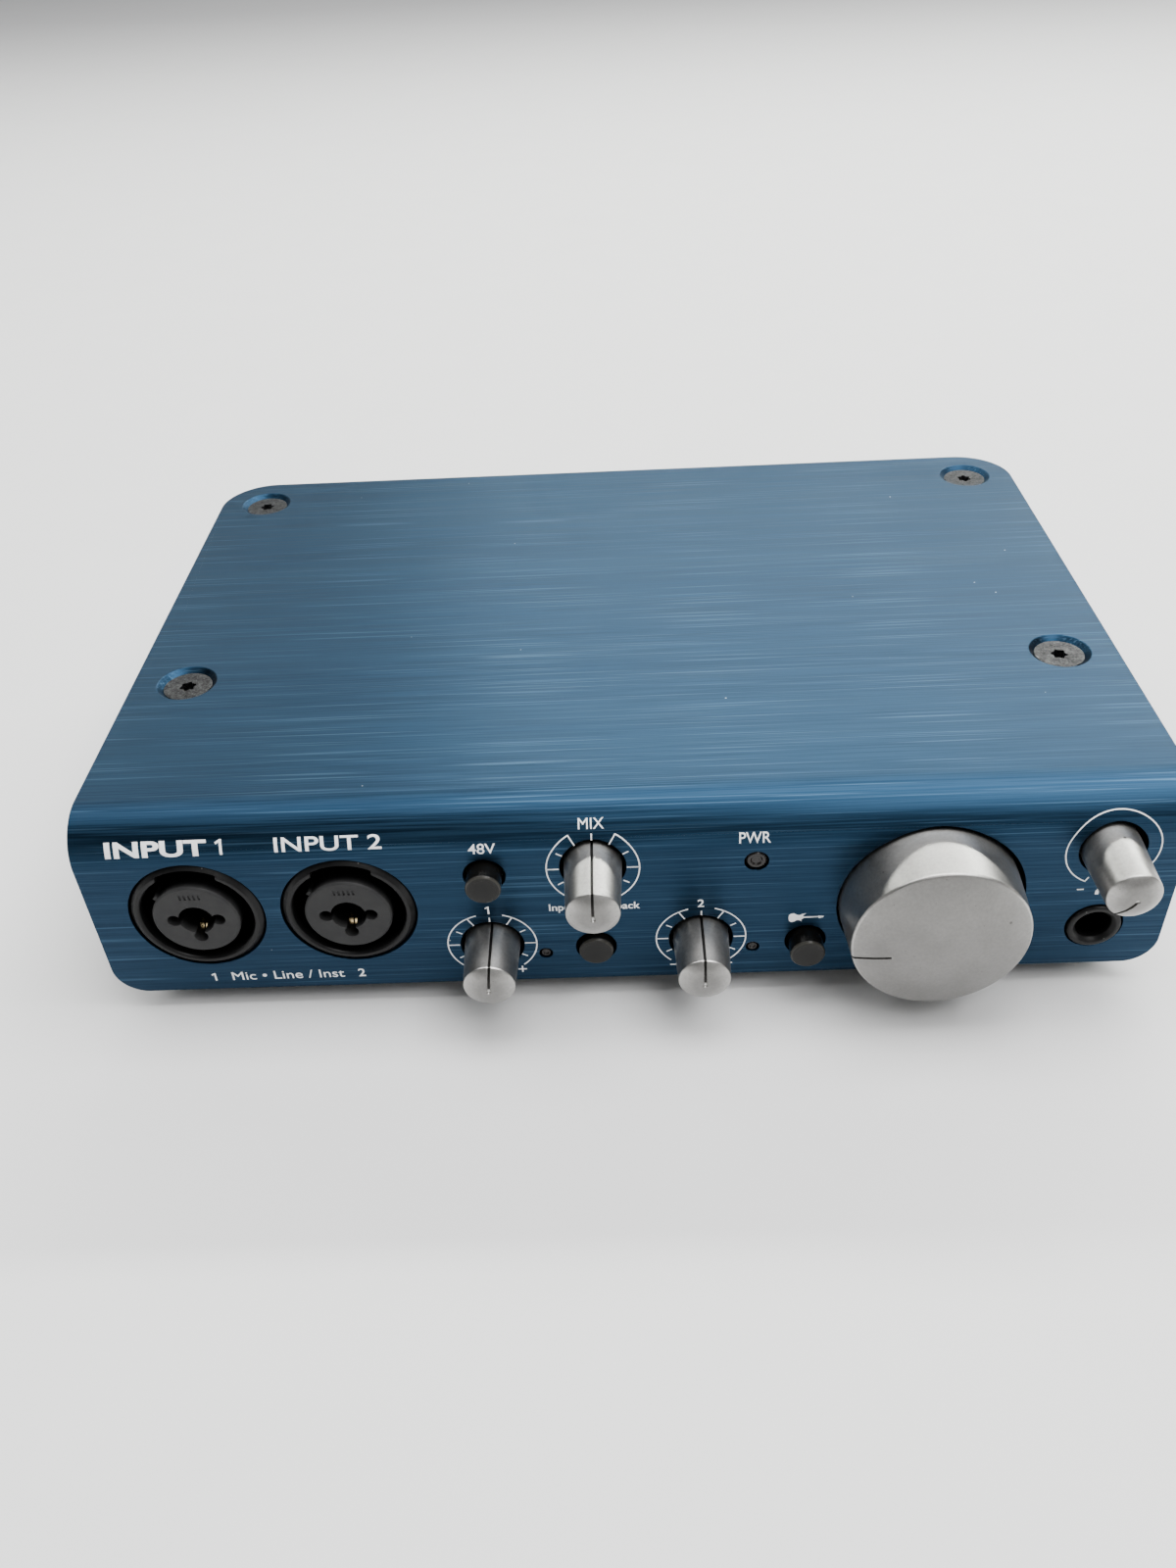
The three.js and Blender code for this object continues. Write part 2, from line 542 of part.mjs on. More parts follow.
function usbASocket() {
  const { half, height, front, mouthHalf, mouthHeight, depth } = USB_A;
  const high = mouthHeight / 2;
  const block = box([-half, front, -height / 2], [half, FLUSH, height / 2]);
  const mouth = box([-mouthHalf, FLUSH - depth, -high], [mouthHalf, FLUSH + TOOTH, high]);
  const tongue = box([-5.5, FLUSH - depth - 1, 0.2], [5.5, FLUSH - 1, 2]);
  const place = { x: REAR_X.usbA, z: middleOnBoard(height) };
  add('usb_a_socket', unite(cut(block, mouth), tongue), STEEL, place);
}

// A five-pin round socket: an annular groove for the plug's shell round a core with pin holes.
function midiSockets() {
  const { half, nose, plug, core, depth, pin, pinAt, front } = DIN;
  const shell = unite(
    box([-half, front, -half], [half, BEHIND_PANEL, half]),
    barY(nose, BEHIND_PANEL - 1, FLUSH));
  const groove = cut(
    barY(plug, FLUSH - depth, FLUSH + TOOTH),
    barY(core, FLUSH - depth - TOOTH, FLUSH - 0.5));
  const pins = [0, 45, 90, 135, 180].map((degrees) => {
    const angle = THREE.MathUtils.degToRad(degrees);
    const [x, z] = [pinAt * Math.cos(angle), -pinAt * Math.sin(angle)];
    return barY(pin, FLUSH - depth, FLUSH + TOOTH, { x, z });
  });
  const socket = cut(shell, groove, ...pins);
  const z = middleOnBoard(2 * half);
  add('midi_in_socket', socket, BLACK_PLASTIC, { x: REAR_X.midiIn, z });
  add('midi_out_socket', socket, BLACK_PLASTIC, { x: REAR_X.midiOut, z });
}

function outputSockets() {
  const { half, height, front, bush, noseOut, hole } = OUTPUT;
  const noseEnd = REAR_FACE + noseOut;
  const socket = cut(
    unite(
      box([-half, front, -height / 2], [half, BEHIND_PANEL, height / 2]),
      barY(bush, BEHIND_PANEL - 1, noseEnd)),
    barY(JACK_BORE, front + 1.5, noseEnd + TOOTH));
  const nut = cut(
    barY(NUT.radius, REAR_FACE + GAP, REAR_FACE + GAP + NUT.thick, { sides: 6 }),
    barY(hole, REAR_FACE, noseEnd + TOOTH));
  for (const side of ['left', 'right']) {
    const place = { x: REAR_X[side], z: middleOnBoard(height) };
    add(`output_socket_${side}`, socket, BLACK_PLASTIC, place);
    add(`output_nut_${side}`, nut, STEEL, place);
  }
}

// ---------- knobs and what they turn ----------

// The outer profile of a knob, from the middle of its domed face to its tail.
function knobProfile({ rim, base, dome, tail }, reach) {
  const sphere = (rim * rim + dome * dome) / (2 * dome);
  const steps = rim > 10 ? 5 : 3;
  const profile = [];
  for (let i = 0; i <= steps; i += 1) {
    const angle = (Math.asin(rim / sphere) * i) / steps;
    profile.push([sphere * Math.sin(angle), -reach - dome + sphere * (1 - Math.cos(angle))]);
  }
  profile.push([base, 0], [base, tail]);
  return profile;
}

// A bar with a flat on its upper side, as the end of a shaft has.
function flattedBar(radius, flat, y0, y1) {
  const above = box([-radius, y0 - TOOTH, flat], [radius, y1 + TOOTH, radius + TOOTH]);
  return cut(barY(radius, y0, y1), above);
}

// The pointer is a groove of even depth: a thin slab less the knob's shape made smaller all round.
function pointerGroove(shape, reach, zLow, yRear) {
  const { rim, base } = shape;
  const { width, depth } = POINTER;
  const slab = box([-width / 2, -reach - shape.dome - TOOTH, zLow], [width / 2, yRear, base + TOOTH]);
  const inner = { ...shape, rim: rim - depth, base: base - depth, tail: shape.tail + 2 * TOOTH };
  const profile = knobProfile(inner, reach - depth);
  return cut(slab, turnedY([...profile, [0, inner.tail]]));
}

const shaftBore = (reach, floor, tail) => flattedBar(
  SHAFT.radius + GAP, SHAFT.flat + GAP, -reach + floor, tail + TOOTH);

function smallKnob(reach) {
  const body = turnedY([...knobProfile(SMALL_KNOB, reach), [0, SMALL_KNOB.tail]]);
  const groove = pointerGroove(SMALL_KNOB, reach, 0, SMALL_KNOB.tail + TOOTH);
  return cut(body, groove, shaftBore(reach, SMALL_KNOB.floor, SMALL_KNOB.tail));
}

// The large knob is a hollow cap with a hub in the middle.
function mainKnob() {
  const { base, tail, floor, skirt, hub } = MAIN_KNOB;
  const ceiling = -MAIN_REACH + floor;
  const body = turnedY([
    ...knobProfile(MAIN_KNOB, MAIN_REACH),
    [base - skirt, tail], [base - skirt - 0.3, ceiling], [hub, ceiling], [hub, tail], [0, tail],
  ]);
  const groove = pointerGroove(MAIN_KNOB, MAIN_REACH, POINTER.mainStart, -MAIN_REACH + 0.5);
  return cut(body, groove, shaftBore(MAIN_REACH, floor, tail));
}

function shaft(reach, floor) {
  const tip = -reach + floor + GAP;
  return unite(
    flattedBar(SHAFT.radius, SHAFT.flat, tip, SHAFT.flatEnd + 0.1),
    barY(SHAFT.radius, SHAFT.flatEnd, SHAFT.end));
}

// A rotary control: a square body with a round bush, in which the shaft turns.
function pot(half) {
  const body = box([-half, BUSH.bodyFront, -half], [half, BEFORE_BOARD, half]);
  const bush = barY(BUSH.radius, BUSH.front, BUSH.bodyFront + 0.1);
  return cut(unite(body, bush), barY(SHAFT.radius + GAP, BUSH.front - TOOTH, SHAFT.end + GAP));
}

function rotaryControls() {
  const small = (reach) => ({
    knob: smallKnob(reach),
    shaft: shaft(reach, SMALL_KNOB.floor),
    pot: pot(POT_HALF),
  });
  const main = {
    knob: mainKnob(),
    shaft: shaft(MAIN_REACH, MAIN_KNOB.floor),
    pot: pot(MAIN_POT_HALF),
  };
  // turn is where the pointer stands, clockwise from straight up
  const controls = [
    { name: 'mix_KIND', place: MIX, turn: 0, ...small(LONG_REACH) },
    { name: 'gain_KIND_1', place: GAIN_1, turn: 4, ...small(SHORT_REACH) },
    { name: 'gain_KIND_2', place: GAIN_2, turn: 0, ...small(SHORT_REACH) },
    { name: 'phones_KIND', place: PHONES_LEVEL, turn: -148, ...small(LONG_REACH) },
    { name: 'main_KIND', place: MAIN, turn: -103, ...main },
  ];
  for (const control of controls) {
    const named = (kind) => control.name.replace('KIND', kind);
    const { place: { x, z }, turn } = control;
    add(named('knob'), control.knob, SATIN_SILVER, { x, z, turn });
    add(named('shaft'), control.shaft, STEEL, { x, z, turn });
    add(named('pot'), control.pot, STEEL, { x, z });
  }
}

// ---------- buttons and lamps ----------

function pushButtons() {
  const { radius, reach, capRear, stemRadius, stemEnd, travel } = BUTTON;
  const button = turnedY([
    [0, -reach], [0.85 * radius, -reach + 0.25], [radius, -reach + 0.9],
    [radius, capRear], [stemRadius, capRear], [stemRadius, stemEnd], [0, stemEnd],
  ]);
  const { half, front, bore, boreEnd } = SWITCH;
  const body = box([-half, front, -half], [half, BEFORE_BOARD, half]);
  const housing = cut(body, barY(bore, front - TOOTH, boreEnd));
  // input 1 is latched in
  const keys = [
    { buttonName: 'phantom_button', switchName: 'phantom_switch', place: PHANTOM, y: 0 },
    { buttonName: 'input_button_1', switchName: 'input_switch_1', place: INPUT_1, y: travel },
    { buttonName: 'input_button_2', switchName: 'input_switch_2', place: INPUT_2, y: 0 },
  ];
  for (const { buttonName, switchName, place: { x, z }, y } of keys) {
    add(buttonName, button, SMOKED_PLASTIC, { x, y, z });
    add(switchName, housing, BLACK_PLASTIC, { x, z });
  }
}

// A lamp's light guide, from just behind the face to the control board.
function lamps() {
  const lamp = ({ hole }) => {
    const radius = hole - GAP;
    return turnedY([
      [0, 0.3], [0.75 * radius, 0.5], [radius, 1], [radius, BEFORE_BOARD], [0, BEFORE_BOARD],
    ]);
  };
  add('power_lamp', lamp(POWER), LENS_PLASTIC, { x: POWER.x, z: POWER.z });
  add('signal_lamp_1', lamp(SIGNAL_1), LENS_PLASTIC, { x: SIGNAL_1.x, z: SIGNAL_1.z });
  add('signal_lamp_2', lamp(SIGNAL_2), LENS_PLASTIC, { x: SIGNAL_2.x, z: SIGNAL_2.z });
}

// ---------- assembly ----------

cover();
coverScrews();
chassisTray();
rearPanel();
rearScrews();
feet();
boardStandoffs();
mainBoard();
controlBoard();
boardRibbon();
comboSockets();
phonesSocket();
powerInlet();
usbBSocket();
usbASocket();
midiSockets();
outputSockets();
rotaryControls();
pushButtons();
lamps();

// The outline runs from the foremost knob face to the cover's rear edge: centre it on the origin.
const foremost = -(LONG_REACH + SMALL_KNOB.dome);
object.position.y = -(foremost + COVER_DEPTH) / 2;

export default object;
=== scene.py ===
"""The looks of a desktop audio interface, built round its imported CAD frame.

Pieces are made in millimetres about their own centre, with y = 0 at the cover's front face for
those that stand in it, and are then put where their CAD nodes are. +X is to the right seen from
the front, +Y to the rear and +Z up.
"""

import math

import bmesh
import bpy
from mathutils import Matrix, Vector


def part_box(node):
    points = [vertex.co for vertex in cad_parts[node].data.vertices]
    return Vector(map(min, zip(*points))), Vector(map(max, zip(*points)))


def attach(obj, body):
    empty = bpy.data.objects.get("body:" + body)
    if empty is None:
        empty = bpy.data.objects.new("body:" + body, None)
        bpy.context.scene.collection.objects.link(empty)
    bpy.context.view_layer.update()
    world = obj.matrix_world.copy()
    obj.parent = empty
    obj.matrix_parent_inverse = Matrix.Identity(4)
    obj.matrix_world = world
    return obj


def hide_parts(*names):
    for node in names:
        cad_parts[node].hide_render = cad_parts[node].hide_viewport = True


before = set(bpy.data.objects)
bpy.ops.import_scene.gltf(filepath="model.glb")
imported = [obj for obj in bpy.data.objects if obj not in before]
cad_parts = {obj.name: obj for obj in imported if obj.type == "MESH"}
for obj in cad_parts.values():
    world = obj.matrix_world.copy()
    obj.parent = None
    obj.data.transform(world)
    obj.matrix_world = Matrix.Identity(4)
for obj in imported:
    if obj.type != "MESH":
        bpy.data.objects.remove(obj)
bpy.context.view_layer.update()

MM = 0.001


# ---------- places taken from the frame, in millimetres ----------

def span(node):
    """Lowest and highest corner of a CAD node."""
    low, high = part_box(node)
    return low / MM, high / MM


def extent(node):
    """Lowest corner, highest corner and middle of a CAD node."""
    low, high = span(node)
    return low, high, (low + high) / 2


def middle(node):
    return extent(node)[2]


COVER_LOW, COVER_HIGH = span("cover")
FACE_Y = COVER_LOW.y  # the front face
FACE_Z = COVER_LOW.z  # its bottom edge
COVER_TOP = COVER_HIGH.z
COVER_DEPTH = COVER_HIGH.y - FACE_Y
COVER_HALF = COVER_HIGH.x
TRAY_LOW, TRAY_HIGH = span("chassis_tray")
PANEL_LOW, PANEL_HIGH = span("rear_panel")

GAP = 0.3  # between a piece and the opening it stands in
PLATE = 3  # thickness of the cover
BEND = 9  # outer radius of the cover's bend
BEND_START = COVER_TOP - BEND - FACE_Z  # height on the face where the bend starts

KNOBS = {"mix": "mix_pot", "gain_1": "gain_pot_1", "gain_2": "gain_pot_2",
         "phones": "phones_pot", "main": "main_pot"}
HOLE_SHIFT = {"main_pot": 0.25, "phones_pot": 0.35}  # how far a hole is right of its knob's axis
TURNS = {"mix": 0, "gain_1": 4, "gain_2": 0, "phones": -148, "main": -103}
SMALL_HOLE, MAIN_HOLE, BUTTON_HOLE, COMBO_HOLE, PHONES_HOLE = 5.88, 16.8, 3.75, 12.37, 5.2
POWER_HOLE, SIGNAL_HOLE = 2.15, 1.25
COVER_SCREW_HOLE, PANEL_SCREW_HOLE = 2.75, 1.6
JACK_BORE = 3.2
SHAFT_BORE = 3.2
SOCKET_SEAT = 4.8  # how far behind the face the front sockets' bodies start
DIAL_RADIUS, RING_LINE = 8.25, 0.24
FILM_LIFT, FILM_THICKNESS = 0.03, 0.02
SHARP = 40  # degrees above which an edge is shaded sharp
SMALL_KNOBS = (("mix", "mix_knob", "mix_dial"), ("gain_1", "gain_knob_1", "gain_dial_1"),
               ("gain_2", "gain_knob_2", "gain_dial_2"), ("phones", "phones_knob", "phones_dial"))


# ---------- camera ----------

def place_camera():
    """Looks down on the front from the photograph's viewpoint."""
    before_face, above_edge = 166.29, 178.06
    eye = Vector((-0.234, FACE_Y - before_face, FACE_Z + above_edge)) * MM
    pitch, yaw, roll = (math.radians(a) for a in (38.248, 1.975, -3.216))
    level = Vector((math.cos(yaw), math.sin(yaw), 0))
    ahead = Vector((-math.sin(yaw), math.cos(yaw), 0))
    forward = ahead * math.cos(pitch) - Vector((0, 0, math.sin(pitch)))
    upright = level.cross(forward)
    right = level * math.cos(roll) + upright * math.sin(roll)
    up = right.cross(forward)
    turn = Matrix((right, up, -forward)).transposed()
    data = bpy.data.cameras.new("camera")
    data.sensor_width = 36
    data.lens = 29.09
    data.clip_start = 0.01
    camera = bpy.data.objects.new("camera", data)
    camera.matrix_world = Matrix.Translation(eye) @ turn.to_4x4()
    bpy.context.scene.collection.objects.link(camera)
    bpy.context.scene.camera = camera


# ---------- solids ----------

def arc(cx, cy, radius, start, end, steps):
    """Points on an arc, from start to end in degrees."""
    angles = [math.radians(start + (end - start) * i / steps) for i in range(steps + 1)]
    return [(cx + radius * math.cos(a), cy + radius * math.sin(a)) for a in angles]


def rounded(points, radii, steps=6, closed=False):
    """The same line of points, with each corner rounded by its own radius."""
    result = []
    count = len(points)
    for i, (point, radius) in enumerate(zip(points, radii)):
        if not radius or (not closed and i in (0, count - 1)):
            result.append(tuple(point))
            continue
        corner = Vector(point)
        before = (Vector(points[i - 1]) - corner).normalized()
        after = (Vector(points[(i + 1) % count]) - corner).normalized()
        half = before.angle(after) / 2
        reach = radius / math.tan(half)
        centre = corner + (before + after).normalized() * (radius / math.sin(half))
        first = corner + before * reach - centre
        last = corner + after * reach - centre
        turn = first.angle(last)
        for k in range(steps + 1):
            t = k / steps
            mix = (first * math.sin((1 - t) * turn) + last * math.sin(t * turn)) / math.sin(turn)
            result.append(tuple(centre + mix))
    return result


def new_object(bm, closed=True):
    """A scratch object from a bmesh, with a closed one's faces pointing out."""
    if closed:
        bmesh.ops.recalc_face_normals(bm, faces=bm.faces)
    mesh = bpy.data.meshes.new("solid")
    bm.to_mesh(mesh)
    bm.free()
    obj = bpy.data.objects.new("solid", mesh)
    bpy.context.scene.collection.objects.link(obj)
    return obj


def turned(profile, sides=96):
    """A solid turned about the Y axis from its (radius, y) profile."""
    bm = bmesh.new()
    angles = [2 * math.pi * i / sides for i in range(sides)]
    rings = []
    for radius, y in profile:
        if radius < 1e-6:
            rings.append([bm.verts.new((0, y, 0))])
        else:
            rings.append([bm.verts.new((radius * math.sin(a), y, radius * math.cos(a))) for a in angles])
    pairs = list(zip(rings, rings[1:]))
    if len(rings[0]) > 1 and len(rings[-1]) > 1:
        pairs.append((rings[-1], rings[0]))
    for first, second in pairs:
        if len(first) == len(second) == 1:
            continue
        for i in range(sides):
            j = (i + 1) % sides
            corners = [first[i % len(first)], first[j % len(first)],
                       second[j % len(second)], second[i % len(second)]]
            bm.faces.new(list(dict.fromkeys(corners)))
    return new_object(bm)


def bar(radius, y0, y1, x=0, z=0, sides=64):
    """A round bar along Y."""
    obj = turned([(0, y0), (radius, y0), (radius, y1), (0, y1)], sides)
    obj.data.transform(Matrix.Translation((x, 0, z)))
    return obj


def on_end(obj, degrees):
    """The same solid tipped about the X axis: by 90 its Y axis points up, by -90 it points down."""
    obj.data.transform(Matrix.Rotation(math.radians(degrees), 4, "X"))
    return obj


def upright_bar(radius, z0, z1, x=0, y=0, sides=48):
    """A round bar along Z."""
    obj = on_end(bar(radius, z0, z1, sides=sides), 90)
    obj.data.transform(Matrix.Translation((x, y, 0)))
    return obj


def extruded(outline, axis, low, high):
    """An outline run along an axis: (y, z) along X, (x, z) along Y or (x, y) along Z."""
    put = {"X": lambda u, v, w: (w, u, v),
           "Y": lambda u, v, w: (u, w, v),
           "Z": lambda u, v, w: (u, v, w)}[axis]
    bm = bmesh.new()
    ends = [[bm.verts.new(put(u, v, w)) for u, v in outline] for w in (low, high)]
    bm.faces.new(ends[0])
    bm.faces.new(ends[1])
    for i in range(len(outline)):
        j = (i + 1) % len(outline)
        bm.faces.new((ends[0][i], ends[0][j], ends[1][j], ends[1][i]))
    return new_object(bm)


def rectangle(x0, y0, x1, y1, lower=0, upper=0, steps=12):
    """A rectangle whose lower and upper corners have their own radii."""
    corners = [(x0, y0), (x1, y0), (x1, y1), (x0, y1)]
    return rounded(corners, [lower, lower, upper, upper], steps, closed=True)


def block(low, high):
    """A box between two corners, which is cut and bevelled into shape later."""
    return extruded(rectangle(low[0], low[1], high[0], high[1]), "Z", low[2], high[2])


def apply_modifiers(obj):
    """Makes an object's modifiers part of its mesh."""
    depsgraph = bpy.context.evaluated_depsgraph_get()
    mesh = bpy.data.meshes.new_from_object(obj.evaluated_get(depsgraph))
    obj.modifiers.clear()
    before = obj.data
    obj.data = mesh
    bpy.data.meshes.remove(before)
    return obj


def discard(objects):
    """Removes scratch objects with their meshes."""
    for obj in objects:
        bpy.data.meshes.remove(obj.data)


def combine(target, tools, operation):
    """Applies one boolean after another to the target and uses up the tools."""
    for tool in tools:
        modifier = target.modifiers.new("combine", "BOOLEAN")
        modifier.operation = operation
        modifier.solver = "EXACT"
        modifier.object = tool
    apply_modifiers(target)
    discard(tools)
    return target


def cut(target, *tools):
    return combine(target, tools, "DIFFERENCE")


def unite(target, *others):
    return combine(target, others, "UNION")


def common(target, *others):
    return combine(target, others, "INTERSECT")


def softened(obj, width, segments=2, angle=32):
    """Rounds every edge that is sharper than the angle."""
    bm = bmesh.new()
    bm.from_mesh(obj.data)
    bmesh.ops.remove_doubles(bm, verts=bm.verts, dist=0.002)
    bmesh.ops.dissolve_degenerate(bm, edges=bm.edges, dist=0.002)
    bm.to_mesh(obj.data)
    bm.free()
    modifier = obj.modifiers.new("bevel", "BEVEL")
    modifier.width = width
    modifier.segments = segments
    modifier.limit_method = "ANGLE"
    modifier.angle_limit = math.radians(angle)
    modifier.use_clamp_overlap = False
    return apply_modifiers(obj)


def piece(name, obj, look, body="housing", nodes=None, at=(0, 0, 0), turn=0):
    """Finishes a solid as a piece: in metres, in place, shaded, riding on its body.

    It replaces the CAD node of its own name, unless nodes says otherwise.
    """
    obj.name = name
    obj.data.name = name
    obj.data.transform(Matrix.Scale(MM, 4))
    obj.data.shade_smooth()
    obj.data.set_sharp_from_angle(angle=math.radians(SHARP))
    obj.location = Vector(at) * MM
    obj.rotation_euler.y = math.radians(turn)
    modifier = obj.modifiers.new("normals", "WEIGHTED_NORMAL")
    modifier.keep_sharp = True
    material, slot = look
    obj.data.materials.clear()
    obj.data.materials.append(material)
    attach(obj, body)
    nodes = (name,) if nodes is None else nodes
    if nodes:
        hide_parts(*nodes)
    return obj


# ---------- materials ----------

class Shader:
    """A Principled material, with short ways to add nodes."""

    def __init__(self, name, color, **settings):
        self.material = bpy.data.materials.new(name)
        self.material.use_nodes = True
        self.tree = self.material.node_tree
        self.surface = self.tree.nodes["Principled BSDF"]
        self.surface.inputs["Base Color"].default_value = (*color, 1)
        for socket, value in settings.items():
            label = socket.replace("_", " ").title().replace("Ior", "IOR")
            self.surface.inputs[label].default_value = value
        self.place = self.add("ShaderNodeTexCoord").outputs["Object"]

    def add(self, kind, values=None, **attributes):
        """A node with its attributes, and with its inputs either linked or set."""
        node = self.tree.nodes.new(kind)
        for key, value in attributes.items():
            setattr(node, key, value)
        for key, value in (values or {}).items():
            if isinstance(value, bpy.types.NodeSocket):
                self.tree.links.new(value, node.inputs[key])
            else:
                node.inputs[key].default_value = value
        return node

    def link(self, output, socket):
        self.tree.links.new(output, self.surface.inputs[socket])

    def scaled(self, scale):
        """Coordinates stretched by their own scale along each axis."""
        return self.add("ShaderNodeMapping", {"Vector": self.place, "Scale": scale}).outputs["Vector"]

    def noise(self, scale, detail=3, roughness=0.55, stretch=None):
        vector = self.scaled(stretch) if stretch else self.place
        values = {"Vector": vector, "Scale": scale, "Detail": detail, "Roughness": roughness}
        return self.add("ShaderNodeTexNoise", values).outputs["Fac"]

    def dots(self, scale, size, share):
        """Small spots: 1 in the middle of a share of the cells, 0 elsewhere."""
        cells = self.add("ShaderNodeTexVoronoi", {"Vector": self.place, "Scale": scale})
        near = self.between(cells.outputs["Distance"], size, size * 0.4)
        chosen = self.add("ShaderNodeSeparateColor", {"Color": cells.outputs["Color"]}).outputs["Red"]
        return self.math("MULTIPLY", near, self.math("LESS_THAN", chosen, share))

    def math(self, operation, a, b=0.0):
        return self.add("ShaderNodeMath", {0: a, 1: b}, operation=operation).outputs[0]

    def axes(self, vector=None):
        """The three parts of a vector, by default of the place on the piece."""
        vector = self.place if vector is None else vector
        return self.add("ShaderNodeSeparateXYZ", {"Vector": vector}).outputs

    def from_axis(self):
        """The distance from the piece's own Y axis."""
        axes = self.axes()
        flat = self.add("ShaderNodeCombineXYZ", {"X": axes["X"], "Z": axes["Z"]}).outputs["Vector"]
        return self.add("ShaderNodeVectorMath", {0: flat}, operation="LENGTH").outputs["Value"]

    def between(self, value, low, high, to_low=0.0, to_high=1.0):
        """Runs from to_low where value is low to to_high where it is high."""
        values = {"Value": value, "From Min": low, "From Max": high, "To Min": to_low, "To Max": to_high}
        return self.add("ShaderNodeMapRange", values).outputs["Result"]

    def blend(self, share, first, second):
        """Mixes two colours by a share."""
        node = self.add("ShaderNodeMix", data_type="RGBA")
        for index, value in ((0, share), (6, first), (7, second)):
            if isinstance(value, bpy.types.NodeSocket):
                self.tree.links.new(value, node.inputs[index])
            else:
                node.inputs[index].default_value = (*value, 1) if isinstance(value, tuple) else value
        return node.outputs[2]

    def bump(self, height, strength, depth):
        """Raises the surface by up to depth, in millimetres."""
        values = {"Height": height, "Strength": strength, "Distance": depth * MM}
        self.link(self.add("ShaderNodeBump", values).outputs["Normal"], "Normal")

    def rough(self, value, low, high, at_low, at_high):
        """Sets the roughness, which runs from at_low where value is low to at_high where it is high."""
        self.link(self.between(value, low, high, at_low, at_high), "Roughness")

    def around(self, axis):
        """The direction round an axis, along which a highlight is drawn out."""
        return self.add("ShaderNodeTangent", direction_type="RADIAL", axis=axis).outputs["Tangent"]


def blue_anodised():
    """Brushed along X and anodised blue, with light and dark streaks and specks of dust."""
    s = Shader("blue_anodised", (0.015, 0.046, 0.09), metallic=1, roughness=0.4, anisotropic=0.62)
    fine = s.noise(1, 2, 0.6, (34, 3300, 3300))
    coarse = s.noise(1, 2, 0.5, (14, 1300, 1300))
    band = s.noise(1, 2, 0.5, (3, 160, 160))
    streak = s.math("ADD", s.math("MULTIPLY", fine, 0.78), s.math("MULTIPLY", coarse, 0.22))
    color = s.blend(s.between(streak, 0.43, 0.58), (0.0088, 0.0238, 0.0465), (0.0155, 0.0395, 0.0735))
    color = s.blend(s.between(band, 0.35, 0.7, 0, 0.25), color, (0.0185, 0.0485, 0.085))
    light = s.between(s.noise(1, 0, 0.5, (26, 3000, 3000)), 0.64, 0.78)
    color = s.blend(s.math("MULTIPLY", light, 0.42), color, (0.06, 0.125, 0.2))
    dust = s.dots(300, 0.06, 0.07)
    color = s.blend(dust, color, (0.42, 0.44, 0.46))
    s.link(color, "Base Color")
    rough = s.between(streak, 0.4, 0.6, 0.34, 0.47)
    s.link(s.math("MAXIMUM", rough, s.math("MULTIPLY", dust, 0.8)), "Roughness")
    s.link(s.math("SUBTRACT", 1.0, dust), "Metallic")
    s.bump(streak, 0.5, 0.02)
    s.link(s.around("X"), "Tangent")
    return s.material, "blue_anodised"


def satin_silver(name, pointer_start):
    """Bead-blasted and clear anodised, with faint turning lines, smudges, dark pits, painted shade on the
    face, a pointer groove dark with painted shade and grime, and a painted glint at the face's middle
    where the pointer reaches it.
    """
    s = Shader(name, (0.4, 0.39, 0.375), metallic=1, roughness=0.36)
    blast = s.noise(5200, 2, 0.6)
    lines = s.noise(1, 2, 0.5, (60, 3600, 60))
    smudge = s.noise(150, 4, 0.6)
    # painted shade: where the normal points forward, the knob's face gets a darker colour than its side
    facing = s.axes(s.add("ShaderNodeTexCoord").outputs["Normal"])
    face = s.between(facing["Y"], -0.8, -0.97)
    color = s.blend(face, (0.46, 0.451, 0.434), (0.21, 0.206, 0.199))
    color = s.blend(s.between(smudge, 0.4, 0.75, 0, 0.2), color, (0.1, 0.097, 0.092))
    grain = s.noise(1700, 3, 0.7)
    color = s.blend(s.between(grain, 0.35, 0.65, 0.22, 0), color, (0.1, 0.097, 0.092))
    color = s.blend(s.math("MULTIPLY", s.dots(1300, 0.22, 0.07), 0.5), color, (0.08, 0.075, 0.07))
    pits = s.dots(420, 0.16, 0.05)
    color = s.blend(s.math("MULTIPLY", pits, 0.75), color, (0.07, 0.065, 0.06))
    # painted shade and grime: a dark stripe along the pointer groove, down the side and over the face
    across = s.between(s.math("ABSOLUTE", s.axes()["X"]), 0.25 * MM, 0.19 * MM)
    along = s.math("GREATER_THAN", s.axes()["Z"], pointer_start * MM)
    color = s.blend(s.math("MULTIPLY", across, along), color, (0.024, 0.023, 0.022))
    # painted highlight: a brighter dot at the middle of the face, where the pointer ends, stands in for a
    # glint
    if pointer_start < 1:
        color = s.blend(s.between(s.from_axis(), 0.36 * MM, 0.26 * MM), color, (0.6, 0.6, 0.58))
    s.link(color, "Base Color")
    s.rough(smudge, 0.3, 0.7, 0.32, 0.42)
    relief = s.math("ADD", s.math("MULTIPLY", blast, 0.7), s.math("MULTIPLY", lines, 0.3))
    s.bump(relief, 0.35, 0.012)
    return s.material, "satin_silver"


